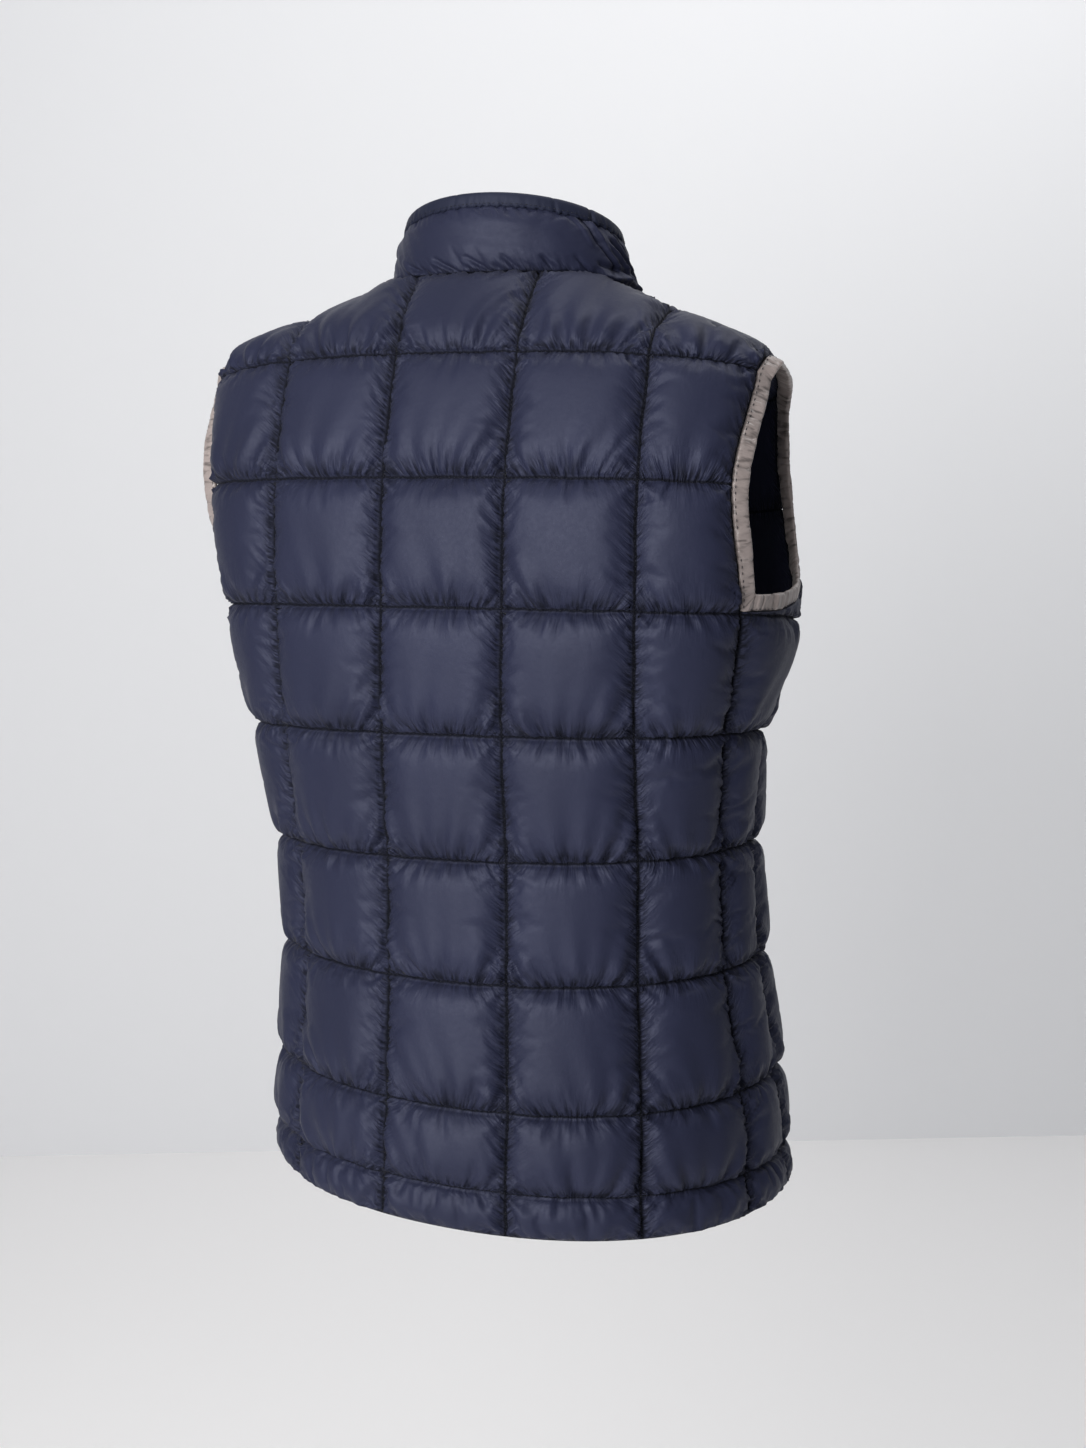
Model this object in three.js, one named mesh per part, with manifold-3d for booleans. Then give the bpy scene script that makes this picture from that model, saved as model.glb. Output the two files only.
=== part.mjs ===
// Quilted down vest, closed at the front, in the hollow form it has when it is worn.
// Millimetres. +Z up, +Y towards the back, +X towards the wearer's left.
// The origin lies in the middle of the neck opening, where the shoulders hold the vest.
import * as THREE from 'three';
import Module from 'manifold-3d';
import { mergeVertices } from 'three/addons/utils/BufferGeometryUtils.js';

// ---- driving sizes -------------------------------------------------------------------------

const SEAM_GAP = 0.3;          // between pieces that are sewn together
const STITCHED = 3;            // thickness of the wall where it is stitched flat
const PUFF_OUT = 10;           // how far a full square of down stands out over its stitching
const PUFF_IN = 5;             // and how far it fills the inside
const PUFF_FULLNESS = 0.7;     // smaller is boxier

const CLOSURE_HALF = 6;        // from the front centre line to the edge of a front panel
const BINDING = { width: 12, thick: 4.4, gap: 0.5 };
const COLLAR = { puffOut: 7, puffIn: 5, foot: 3, edgeHeight: 9, edgeThick: 6 };
const TAPE = { inner: 2.3, setBack: 1.2, thick: 1.2 };
const CHAIN = { half: 1.9, setBack: 0.6, thick: 2.4 };
const SLIDER = { width: 8.8, height: 10, plate: 1.5, play: 0.4, coreHalf: 1.8, belowTop: 24 };
const BAIL = { width: 2.2, height: 7.6, room: 2.4, wall: 1 };
const PULL = { bar: 1.2, eyeHalf: 1.7, arm: 1.3, eyeLength: 5, length: 27, width: 6.6 };
const BOX = { width: 10, height: 8, thick: 4.4 };

// Sections of the body, one row for each line of quilting from the hem up.
//   half    half of the width                       left    more width on the wearer's left
//   back    depth behind the widest place           front   depth before it
//   corner  squareness of the back, 2 is an ellipse  z       height at the centre of the back
//   fall    drop per 100 towards the sides          drop    further drop at the front centre
//   shift   towards the wearer's left               lean    rise per 100 towards the left
//   mid     where the widest place lies in Y        cell    width of a square of quilting
const SECTION_COLUMNS = ['half', 'left', 'back', 'front', 'corner', 'z', 'fall', 'drop', 'shift',
  'lean', 'mid', 'cell'];
const SECTIONS = [
  // hem
  { row: 0.00, half: 201, left: 0, back: 172, front: 111, corner: 2.13, z: -696,
    fall: 3.6, drop: 6, shift: -6, lean: 2.9, mid: -4, cell: 98 },
  // top of hem
  { row: 0.33, half: 198, left: 0, back: 168, front: 110, corner: 2.17,
    z: -666, fall: 5.4, drop: 7, shift: -5, lean: 2.0, mid: -5, cell: 97 },
  // hip
  { row: 1, half: 193, left: 0, back: 159, front: 108, corner: 2.20, z: -611,
    fall: 1.7, drop: 12, shift: -4, lean: 1.3, mid: -6, cell: 96 },
  // below waist
  { row: 2, half: 186, left: 0, back: 142, front: 106, corner: 2.13,
    z: -523, fall: 2.4, drop: 14, shift: 0, lean: -0.1, mid: -4, cell: 94 },
  // waist
  { row: 3, half: 184, left: 0, back: 127, front: 112, corner: 2.27, z: -436,
    fall: 4.1, drop: 16, shift: 2, lean: -1.8, mid: 2, cell: 94 },
  // ribs
  { row: 4, half: 194, left: 0, back: 116, front: 120, corner: 2.53, z: -346,
    fall: 8.1, drop: 18, shift: 4, lean: -1.5, mid: 11, cell: 94 },
  // armhole bottom
  { row: 5, half: 218, left: 0, back: 115, front: 122, corner: 2.73,
    z: -256, fall: 12.3, drop: 20, shift: 2, lean: -0.4, mid: 10, cell: 94 },
  // shoulder blades
  { row: 6, half: 227, left: 8, back: 110, front: 112, corner: 2.75,
    z: -166, fall: 16.5, drop: 22, shift: 2, lean: 0.2, mid: 5, cell: 94 },
  // yoke line
  { row: 7, half: 222, left: 14, back: 92, front: 92, corner: 2.57, z: -80,
    fall: 33, drop: 10, shift: 3, lean: 0.5, mid: -5, cell: 94 },
];
const YOKE_ROW = 7;            // above it the cloth bends over to the neck and the shoulder seam
const TOP_ROW = 8;
const ARMHOLE_ROW = 5;
const FRONT_CORNER = 2.35;     // squareness of the front half of every section

// Where the panels end at the side, in squares from their centre line: at the side seam up to
// the armhole, and at the armhole above it.
const BACK_EDGE = [
  { row: 0, at: 2.48, moreLeft: 0 },
  { row: 0.33, at: 2.48, moreLeft: 0 },
  { row: 1, at: 2.44, moreLeft: 0 },
  { row: 2, at: 2.30, moreLeft: 0 },
  { row: 3, at: 2.25, moreLeft: 0 },
  { row: 4, at: 2.27, moreLeft: 0 },
  { row: 5, at: 2.31, moreLeft: 0 },
  { row: 6, at: 2.19, moreLeft: 0.20 },
  { row: 7, at: 2.31, moreLeft: 0.16 },
  { row: 8, at: 2.31, moreLeft: 0 },
];
const FRONT_EDGE = [
  { row: 5, at: 2.50, moreLeft: 0 },
  { row: 5.25, at: 2.50, moreLeft: 0.03 },
  { row: 5.5, at: 2.34, moreLeft: 0.08 },
  { row: 6, at: 2.18, moreLeft: 0.12 },
  { row: 6.5, at: 2.12, moreLeft: 0.14 },
  { row: 7, at: 2.14, moreLeft: 0.14 },
  { row: 8, at: 2.25, moreLeft: 0 },
];
// How high the bottom of the armhole lies over its row, from the front corner to the side seam.
const UNDERARM_RISE = [0.25, 0.13, 0.06, 0.03, 0.02];

// The neck seam and the top of the collar are ovals, each with a straight or bowed fall from
// its height at the back (zBack) to that at the front (zFront).
const NECK = { x: 7, y: -30, half: 96, back: 74, front: 55, zBack: -23, zFront: -62, bow: 2 };
const COLLAR_TOP = { x: 5, y: -27, half: 82, back: 66, front: 50, zBack: 33, zFront: -8, bow: 1 };
const NECK_CORNER = THREE.MathUtils.degToRad(69.6);   // where the shoulder seam starts
const NECK_CORNER_DROP = 4;
const BACK_NECK_SQUARES = 1;      // squares of the back panel that end at the neck
const FRONT_NECK_SQUARES = 1.25;
const SHOULDER_END = { half: 211, shift: 4, y: 28, z: -83, lean: 3.8, slope: 0.5 };
const YOKE_FULLNESS = 0.25;       // how long the yoke keeps the slope of the panel below

const NAVY = new THREE.MeshStandardMaterial({ color: 0x2b2f42, roughness: 0.5 });
const NAVY_EDGE = new THREE.MeshStandardMaterial({ color: 0x232636, roughness: 0.5 });
const TAUPE = new THREE.MeshStandardMaterial({ color: 0x8c8280, roughness: 0.35 });
const TAPE_CLOTH = new THREE.MeshStandardMaterial({ color: 0x1d2030, roughness: 0.8 });
const TEETH = new THREE.MeshStandardMaterial({ color: 0x20222c, roughness: 0.4 });
const METAL = new THREE.MeshStandardMaterial({ color: 0x4a4b50, roughness: 0.3, metalness: 0.9 });

// ---- reading the tables --------------------------------------------------------------------

// A smooth curve through one column of a table whose rows have a place named row.
function readTable(table, column, row) {
  const last = table.length - 1;
  const at = Math.min(Math.max(row, table[0].row), table[last].row);
  let i = 0;
  while (i < last - 1 && at > table[i + 1].row) i += 1;
  const slope = (k) => {
    const low = table[Math.max(k - 1, 0)];
    const high = table[Math.min(k + 1, last)];
    return (high[column] - low[column]) / (high.row - low.row);
  };
  const span = table[i + 1].row - table[i].row;
  const t = (at - table[i].row) / span;
  const start = table[i][column] * (2 * t ** 3 - 3 * t ** 2 + 1);
  const end = table[i + 1][column] * (3 * t ** 2 - 2 * t ** 3);
  const bend = slope(i) * (t ** 3 - 2 * t ** 2 + t) + slope(i + 1) * (t ** 3 - t ** 2);
  return start + end + bend * span;
}

function sectionAt(row) {
  return Object.fromEntries(SECTION_COLUMNS.map((column) => [column,
    readTable(SECTIONS, column, row)]));
}

// ---- the form of the worn cloth ------------------------------------------------------------

const OUTLINE_STEPS = 480;
const outlines = new Map();

// Half of a section's outline from the back centre to the front centre, with its length so far.
function halfOutline(row, side) {
  const key = `${row.toFixed(4)} ${side}`;
  if (outlines.has(key)) return outlines.get(key);
  const s = sectionAt(row);
  const width = s.half + (side > 0 ? s.left : 0);
  const points = [];
  let length = 0;
  for (let i = 0; i <= OUTLINE_STEPS; i += 1) {
    const turn = (Math.PI * i) / OUTLINE_STEPS;
    const inBack = 2 * i <= OUTLINE_STEPS;
    const power = 2 / (inBack ? s.corner : FRONT_CORNER);
    const x = width * Math.abs(Math.sin(turn)) ** power;
    const y = (inBack ? s.back : -s.front) * Math.abs(Math.cos(turn)) ** power;
    if (i > 0) length += Math.hypot(x - points[i - 1].x, y - points[i - 1].y);
    points.push({ x, y, length });
  }
  const outline = { section: s, points, total: length };
  outlines.set(key, outline);
  return outline;
}

// The point of a section at a distance along it, from the back centre or the front centre.
function sectionPoint(row, side, distance, facing) {
  const { section: s, points, total } = halfOutline(row, side);
  const along = facing === 'back' ? distance : total - distance;
  let low = 0;
  let high = points.length - 1;
  while (high - low > 1) {
    const middle = (low + high) >> 1;
    if (points[middle].length > along) high = middle;
    else low = middle;
  }
  const t = (along - points[low].length) / (points[high].length - points[low].length);
  const x = side * THREE.MathUtils.lerp(points[low].x, points[high].x, t);
  const y = THREE.MathUtils.lerp(points[low].y, points[high].y, t);
  const behind = Math.max(y, 0);
  const before = Math.max(-y, 0);
  const z = s.z - (s.fall * (s.back - behind)) / 100 - (s.drop * before) / s.front
    + (s.lean * x) / 100;
  return new THREE.Vector3(x + s.shift, y + s.mid, z);
}

function ovalPoint(oval, turn) {
  const c = Math.cos(turn);
  const y = (c >= 0 ? oval.back : oval.front) * c;
  const share = (oval.back - y) / (oval.back + oval.front);
  const z = oval.zBack + (oval.zFront - oval.zBack) * share ** oval.bow;
  return new THREE.Vector3(oval.x + oval.half * Math.sin(turn), oval.y + y, z);
}

// The turn around the neck oval for a share of the way from a centre line to the shoulder seam.
function neckTurn(share, facing) {
  const start = facing === 'back' ? 0 : Math.PI;
  const steps = 200;
  const lengths = [0];
  const turns = [start];
  let previous = ovalPoint(NECK, start);
  for (let i = 1; i <= steps; i += 1) {
    const turn = THREE.MathUtils.lerp(start, NECK_CORNER, i / steps);
    const point = ovalPoint(NECK, turn);
    lengths.push(lengths[i - 1] + point.distanceTo(previous));
    turns.push(turn);
    previous = point;
  }
  const wanted = share * lengths[steps];
  const i = Math.min(lengths.findIndex((length) => length >= wanted - 1e-9), steps);
  if (i <= 0) return start;
  const t = (wanted - lengths[i - 1]) / (lengths[i] - lengths[i - 1]);
  return THREE.MathUtils.lerp(turns[i - 1], turns[i], t);
}

// The back spreads its squares towards the shoulder, the front spaces them evenly.
function neckShare(squares, facing) {
  if (facing === 'front') return squares / FRONT_NECK_SQUARES;
  const s = squares / BACK_NECK_SQUARES;
  return 0.82 * s + 0.18 * s * s;
}

function neckPoint(squares, side, facing) {
  const share = neckShare(squares, facing);
  const point = ovalPoint(NECK, side * neckTurn(share, facing));
  point.z -= NECK_CORNER_DROP * share ** 4;
  return point;
}

// How far along the shoulder seam a place of a panel's upper edge lies, 0 to 1.
function shoulderShare(squares, facing) {
  const neckSquares = facing === 'back' ? BACK_NECK_SQUARES : FRONT_NECK_SQUARES;
  const edge = readTable(facing === 'back' ? BACK_EDGE : FRONT_EDGE, 'at', TOP_ROW);
  return Math.max((squares - neckSquares) / (edge - neckSquares), 0);
}

// The direction out of the cloth at the neck and shoulder seams, the same for both panels.
function topOut(share, side) {
  return new THREE.Vector3(SHOULDER_END.slope * share * side, 0, 1);
}

// The upper edge of a panel: the neck seam, and outside it the straight shoulder seam.
function topPoint(squares, side, facing) {
  const neckSquares = facing === 'back' ? BACK_NECK_SQUARES : FRONT_NECK_SQUARES;
  if (squares <= neckSquares) return neckPoint(squares, side, facing);
  const start = neckPoint(neckSquares, side, facing);
  const end = new THREE.Vector3(SHOULDER_END.half * side + SHOULDER_END.shift, SHOULDER_END.y,
    SHOULDER_END.z + SHOULDER_END.lean * side);
  return start.lerp(end, shoulderShare(squares, facing));
}

// A point of the cloth's stitched surface: squares from the centre line of the panel, on one
// side of it, and rows of quilting up from the hem.
function clothPoint(squares, side, row, facing) {
  if (row <= YOKE_ROW) {
    return sectionPoint(row, side, squares * readTable(SECTIONS, 'cell', row), facing);
  }
  const below = 0.1;
  const start = clothPoint(squares, side, YOKE_ROW, facing);
  const slope = start.clone().sub(clothPoint(squares, side, YOKE_ROW - below, facing));
  const end = topPoint(squares, side, facing);
  const reach = start.distanceTo(end) * YOKE_FULLNESS;
  const middle = start.clone().add(slope.setLength(reach));
  const t = row - YOKE_ROW;
  return new THREE.Vector3()
    .addScaledVector(start, (1 - t) ** 2)
    .addScaledVector(middle, 2 * t * (1 - t))
    .addScaledVector(end, t * t);
}

// The direction straight out of the cloth.
function clothNormal(squares, side, row, facing) {
  const step = 0.02;
  const across = clothPoint(squares + step, side, row, facing)
    .sub(clothPoint(Math.max(squares - step, 0), side, row, facing));
  const high = Math.min(row + step, TOP_ROW);
  const low = Math.max(row - step, 0);
  const up = clothPoint(squares, side, high, facing).sub(clothPoint(squares, side, low, facing));
  const turn = facing === 'back' ? -side : side;
  return across.cross(up).multiplyScalar(turn).normalize();
}

// ---- down between the stitched lines ---------------------------------------------------------

const QUILT_ROWS = [0, 0.33, 1, 2, 3, 4, 5, 6, 7, 8];
const QUILT_COLUMNS = { back: [-0.5, 0.5, 1.5], front: [0, 0.5, 1.5, 2.5] };

// How full the cloth is at a place between two stitched lines, and how far those lines let it.
function fullness(at, low, high) {
  const share = THREE.MathUtils.clamp((at - low) / (high - low), 0, 1);
  const room = Math.sqrt(Math.min(high - low, 1));
  return room * (4 * share * (1 - share)) ** PUFF_FULLNESS;
}

function puffAt(squares, row, edge, facing) {
  const lines = [...QUILT_COLUMNS[facing].filter((line) => line < edge - 0.1), edge];
  const right = Math.max(lines.findIndex((line) => line > squares - 1e-6), 1);
  const above = Math.max(QUILT_ROWS.findIndex((line) => line > row - 1e-6), 1);
  return fullness(squares, lines[right - 1], lines[right])
    * fullness(row, QUILT_ROWS[above - 1], QUILT_ROWS[above]);
}

// ---- building closed bodies ------------------------------------------------------------------

function bodyFrom(points, faces) {
  const used = [...new Set(faces.flat())];
  const place = new Map(used.map((point, i) => [point, i]));
  const positions = used.flatMap((i) => points[i].toArray());
  let volume = 0;
  faces.forEach(([a, b, c]) => {
    volume += points[a].dot(points[b].clone().cross(points[c]));
  });
  const outward = volume > 0 ? faces : faces.map(([a, b, c]) => [a, c, b]);
  const geometry = new THREE.BufferGeometry();
  geometry.setAttribute('position', new THREE.Float32BufferAttribute(positions, 3));
  geometry.setIndex(outward.flat().map((i) => place.get(i)));
  return geometry;
}

// A wall between two grids of points. Squares of the grid that has() refuses are left out.
function wall(outer, inner, has = () => true) {
  const rows = outer.length;
  const columns = outer[0].length;
  const points = [...outer.flat(), ...inner.flat()];
  const deep = rows * columns;
  const faces = [];
  const isThere = (i, j) => i >= 0 && j >= 0 && i < rows - 1 && j < columns - 1 && has(i, j);
  const quad = (a, b, c, d) => faces.push([a, b, c], [a, c, d]);
  for (let i = 0; i < rows - 1; i += 1) {
    for (let j = 0; j < columns - 1; j += 1) {
      if (isThere(i, j)) {
        const a = i * columns + j;
        const [b, c, d] = [a + 1, a + columns + 1, a + columns];
        quad(a, b, c, d);
        quad(a + deep, d + deep, c + deep, b + deep);
        if (!isThere(i - 1, j)) quad(b, a, a + deep, b + deep);
        if (!isThere(i, j + 1)) quad(c, b, b + deep, c + deep);
        if (!isThere(i + 1, j)) quad(d, c, c + deep, d + deep);
        if (!isThere(i, j - 1)) quad(a, d, d + deep, a + deep);
      }
    }
  }
  return bodyFrom(points, faces);
}

// A strip with one cross-section. A frame has a point and the directions across and out of the
// strip, and a section is a list of [across, out] distances.
function strip(frames, section, closed = false) {
  const points = frames.flatMap(({ point, across, out }) => section.map(([a, o]) => point.clone()
    .addScaledVector(across, a).addScaledVector(out, o)));
  const sides = section.length;
  const faces = [];
  const links = closed ? frames.length : frames.length - 1;
  for (let i = 0; i < links; i += 1) {
    const here = i * sides;
    const next = ((i + 1) % frames.length) * sides;
    for (let j = 0; j < sides; j += 1) {
      const k = (j + 1) % sides;
      faces.push([here + j, here + k, next + k], [here + j, next + k, next + j]);
    }
  }
  if (!closed) {
    const last = (frames.length - 1) * sides;
    for (let j = 1; j < sides - 1; j += 1) {
      faces.push([0, j + 1, j], [last, last + j, last + j + 1]);
    }
  }
  return bodyFrom(points, faces);
}

// ---- panels ----------------------------------------------------------------------------------

const PANEL_ROWS = [0, 0.165, 0.33, 0.55, 0.78, 1, 1.33, 1.67, 2, 2.33, 2.67, 3, 3.33, 3.67, 4,
  4.33, 4.67, 5, 5.25, 5.6, 6, 6.33, 6.67, 7, 7.25, 7.5, 7.75, 8];
const CORNER_ROW = 5.25;       // the front corner of the armhole
const LAST_FIXED = 1.5;        // squares up to here keep their places up to the top
const UNDERARM_LINE = 2.5;     // the last line of stitching on a front, below the armhole
const QUARTERS = [0.25, 0.5, 0.75, 1];
const HALF_GAP = SEAM_GAP / 2;

function backEdge(row, side) {
  const moreLeft = side > 0 ? readTable(BACK_EDGE, 'moreLeft', row) : 0;
  return readTable(BACK_EDGE, 'at', row) + moreLeft;
}

function frontSeam(row, side) {
  const cell = readTable(SECTIONS, 'cell', row);
  return halfOutline(row, side).total / cell - backEdge(row, side);
}

function frontEdge(row, side) {
  if (row <= ARMHOLE_ROW) return UNDERARM_LINE;
  const moreLeft = side > 0 ? readTable(FRONT_EDGE, 'moreLeft', row) : 0;
  return readTable(FRONT_EDGE, 'at', row) + moreLeft;
}

// The outer and the inner point of a panel's padded wall.
function wallPair(squares, side, row, edge, facing) {
  const point = clothPoint(squares, side, row, facing);
  if (row === TOP_ROW) {
    point.y += facing === 'back' ? HALF_GAP : -HALF_GAP;
    const out = topOut(shoulderShare(squares, facing), side);
    return [point, point.clone().addScaledVector(out, -STITCHED)];
  }
  const out = clothNormal(squares, side, row, facing);
  const puff = puffAt(squares, row, edge, facing);
  return [point.clone().addScaledVector(out, PUFF_OUT * puff),
    point.addScaledVector(out, -STITCHED - PUFF_IN * puff)];
}

function backPanel() {
  const inside = [0, ...QUARTERS, ...QUARTERS.slice(0, 2).map((q) => 1 + q)];
  const rows = PANEL_ROWS.map((row) => {
    const half = (side) => {
      const edge = backEdge(row, side) - HALF_GAP / readTable(SECTIONS, 'cell', row);
      const outside = QUARTERS.map((q) => LAST_FIXED + (edge - LAST_FIXED) * q);
      return [...inside, ...outside].map((at) => wallPair(at, side, row, edge, 'back'));
    };
    return [...half(-1).slice(1).reverse(), ...half(1)];
  });
  return wall(rows.map((row) => row.map(([outer]) => outer)),
    rows.map((row) => row.map(([, inner]) => inner)));
}

function frontPanel(side) {
  const inside = [0.25, 0.5, 0.75, 1, 1.25, 1.5];
  const rows = PANEL_ROWS.map((row) => {
    const cell = readTable(SECTIONS, 'cell', row);
    const edge = frontEdge(row, side);
    const chest = QUARTERS.map((q) => LAST_FIXED + (edge - LAST_FIXED) * q);
    const main = [CLOSURE_HALF / cell, ...inside, ...chest];
    const lastLine = row > ARMHOLE_ROW ? edge : Infinity;
    const pairs = main.map((at) => wallPair(at, side, row, lastLine, 'front'));
    const underarm = QUARTERS.map((q, i) => {
      const at = Math.min(row, row > ARMHOLE_ROW ? ARMHOLE_ROW + UNDERARM_RISE[i + 1] : row);
      const seam = frontSeam(at, side) - HALF_GAP / cell;
      const squares = UNDERARM_LINE + (seam - UNDERARM_LINE) * q;
      return wallPair(squares, side, at, row > ARMHOLE_ROW ? squares : seam, 'front');
    });
    return [...pairs, ...underarm];
  });
  const mainColumns = 1 + inside.length + QUARTERS.length;
  const isCloth = (i, j) => PANEL_ROWS[i] < CORNER_ROW || j < mainColumns - 1;
  return wall(rows.map((row) => row.map(([outer]) => outer)),
    rows.map((row) => row.map(([, inner]) => inner)), isCloth);
}

// ---- armhole bindings ------------------------------------------------------------------------

// The edge of the panels round one armhole, from the side seam up the back and down the front.
function armholeEdge(side) {
  const upper = PANEL_ROWS.filter((row) => row > ARMHOLE_ROW && row < TOP_ROW);
  const place = (squares, row, facing) => ({
    point: clothPoint(squares, side, row, facing),
    out: clothNormal(squares, side, row, facing),
  });
  const seamRow = ARMHOLE_ROW + UNDERARM_RISE[QUARTERS.length];
  const back = upper.map((row) => place(backEdge(row, side), row, 'back'));
  const front = upper.map((row) => place(frontEdge(row, side), row, 'front')).reverse();
  const underarm = QUARTERS.map((q, i) => {
    const row = ARMHOLE_ROW + UNDERARM_RISE[i + 1];
    const seam = frontSeam(row, side);
    return place(UNDERARM_LINE + (seam - UNDERARM_LINE) * q, row, 'front');
  });
  const top = place(backEdge(TOP_ROW, side), TOP_ROW, 'back');
  top.out = topOut(1, side);
  const start = place(backEdge(seamRow, side), seamRow, 'back');
  return [start, ...back, top, ...front, ...underarm.slice(0, -1)];
}

function withAcross(edge, side) {
  return edge.map((here, i) => {
    const before = edge[(i + edge.length - 1) % edge.length].point;
    const after = edge[(i + 1) % edge.length].point;
    const along = after.clone().sub(before).normalize();
    const across = here.out.clone().cross(along).multiplyScalar(side).normalize();
    return { ...here, across };
  });
}

function armholeBinding(side) {
  const { width, thick, gap } = BINDING;
  const over = (thick - STITCHED) / 2;
  const shoulder = width - 1.8;
  const round = 1.4;
  const section = [[gap, over], [shoulder, over], [width, over - round],
    [width, round - STITCHED - over], [shoulder, -STITCHED - over], [gap, -STITCHED - over]];
  return strip(withAcross(armholeEdge(side), side), section, true);
}

// ---- collar ----------------------------------------------------------------------------------

const COLLAR_HEIGHTS = [0.06, 0.22, 0.45, 0.7, 0.9, 1];

// The places round the neck, from the closure round the wearer's right, back and left, where
// the panels' own corners stand, each with its turn round the ovals.
function neckPlaces() {
  const closure = CLOSURE_HALF / readTable(SECTIONS, 'cell', TOP_ROW);
  const front = [closure, 0.25, 0.5, 0.75, 1, 1.25];
  const back = [0.75, 0.5, 0.25, 0];
  const half = (side) => [
    ...front.map((squares) => ({ squares, side, facing: 'front' })),
    ...back.map((squares) => ({ squares, side, facing: 'back' })),
  ];
  const places = [...half(-1), ...half(1).slice(0, -1).reverse()];
  return places.map(({ squares, side, facing }) => ({
    point: neckPoint(squares, side, facing),
    turn: side * neckTurn(neckShare(squares, facing), facing),
  }));
}

// One upright of the collar: its foot, just inside the neck edge, and its stitched top.
function uprights() {
  const corners = neckPlaces();
  const between = corners.slice(1).map(({ point, turn }, i) => ({
    point: point.clone().lerp(corners[i].point, 0.5),
    turn: (turn + corners[i].turn) / 2,
  }));
  const places = corners.flatMap((corner, i) => (i === 0 ? [corner] : [between[i - 1], corner]));
  return places.map(({ point, turn }, i) => {
    const before = places[Math.max(i - 1, 0)].point;
    const after = places[Math.min(i + 1, places.length - 1)].point;
    const out = new THREE.Vector3(before.y - after.y, after.x - before.x, 0).normalize();
    const rim = ovalPoint(COLLAR_TOP, turn);
    const foot = point.clone().addScaledVector(out, -SEAM_GAP);
    const up = rim.clone().sub(foot).normalize();
    return { foot, up, out, top: rim.addScaledVector(up, -COLLAR.edgeHeight) };
  });
}

function collar() {
  const places = uprights();
  const last = places.length - 1;
  const rows = [null, ...COLLAR_HEIGHTS].map((height) => places.map((place, i) => {
    const { foot, out, top } = place;
    if (height === null) {
      const low = foot.clone().setZ(foot.z - COLLAR.foot);
      return [low, low.clone().addScaledVector(out, -STITCHED)];
    }
    const point = foot.clone().lerp(top, height);
    const atEnd = i === 0 || i === last;
    const puff = atEnd ? 0 : fullness(height, COLLAR_HEIGHTS[0], 1);
    return [point.clone().addScaledVector(out, COLLAR.puffOut * puff),
      point.addScaledVector(out, -STITCHED - COLLAR.puffIn * puff)];
  }));
  return wall(rows.map((row) => row.map(([outer]) => outer)),
    rows.map((row) => row.map(([, inner]) => inner)));
}

// The turned edge along the top of the collar.
function collarEdge() {
  const { edgeHeight, edgeThick } = COLLAR;
  const over = (edgeThick - STITCHED) / 2;
  const shoulder = edgeHeight - 2;
  const section = [[SEAM_GAP, over], [shoulder, over], [edgeHeight, over / 2 - 1.5],
    [edgeHeight, -STITCHED + 1], [shoulder, -STITCHED - over], [SEAM_GAP, -STITCHED - over]];
  return strip(uprights().map(({ top, up, out }) => ({ point: top, across: up, out })), section);
}

// ---- zip -------------------------------------------------------------------------------------

// The middle of the closure from the hem to the top of the collar, with the half width between
// the edges that the tapes are sewn to and the direction out of the front.
function closureLine() {
  const cloth = PANEL_ROWS.map((row) => {
    const squares = CLOSURE_HALF / readTable(SECTIONS, 'cell', row);
    const left = clothPoint(squares, 1, row, 'front');
    const right = clothPoint(squares, -1, row, 'front');
    const out = clothNormal(squares, 1, row, 'front').add(clothNormal(squares, -1, row, 'front'));
    return { left, right, out: out.normalize() };
  });
  const ends = uprights();
  const right = ends[0];
  const left = ends[ends.length - 1];
  const slope = right.up.clone().add(left.up);
  const out = new THREE.Vector3(0, -slope.z, slope.y).normalize();
  const rim = (end) => end.top.clone().addScaledVector(end.up, COLLAR.edgeHeight);
  const neck = cloth.pop();
  neck.out = out.clone().add(neck.out).normalize();
  const band = [neck, { left: rim(left), right: rim(right), out }];
  return [...cloth, ...band].map(({ left: l, right: r, out: o }) => ({
    point: l.clone().add(r).multiplyScalar(0.5),
    half: l.distanceTo(r) / 2,
    across: l.clone().sub(r).normalize(),
    out: o,
  }));
}

// The same line cut to start and end at given distances from its two ends.
function cutLine(line, fromStart, fromEnd) {
  const cut = (list, distance) => {
    const span = list[0].point.distanceTo(list[1].point);
    const t = distance / span;
    const [a, b] = list;
    const first = {
      point: a.point.clone().lerp(b.point, t),
      half: THREE.MathUtils.lerp(a.half, b.half, t),
      across: a.across.clone().lerp(b.across, t).normalize(),
      out: a.out.clone().lerp(b.out, t).normalize(),
    };
    return [first, ...list.slice(1)];
  };
  return cut(cut(line, fromStart).reverse(), fromEnd).reverse();
}

function zipTape(side) {
  const frames = cutLine(closureLine(), BOX.height + SEAM_GAP, 0);
  const points = frames.flatMap(({ point, half, across, out }) => {
    const at = (distance, deep) => point.clone().addScaledVector(across, side * distance)
      .addScaledVector(out, -deep);
    const far = half - SEAM_GAP;
    const back = TAPE.setBack + TAPE.thick;
    return [[at(TAPE.inner, TAPE.setBack), at(far, TAPE.setBack)],
      [at(TAPE.inner, back), at(far, back)]];
  });
  return wall(points.filter((_, i) => i % 2 === 0), points.filter((_, i) => i % 2 === 1));
}

// How far below the rim the slider's middle stands, and the frame it stands in.
function sliderFrame() {
  const [neck, rim] = closureLine().slice(-2);
  const length = neck.point.distanceTo(rim.point);
  const t = 1 - SLIDER.belowTop / length;
  const origin = neck.point.clone().lerp(rim.point, t);
  const up = rim.point.clone().sub(neck.point).normalize();
  const lean = Math.atan2(up.y, up.z);
  return { origin, lean };
}

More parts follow.
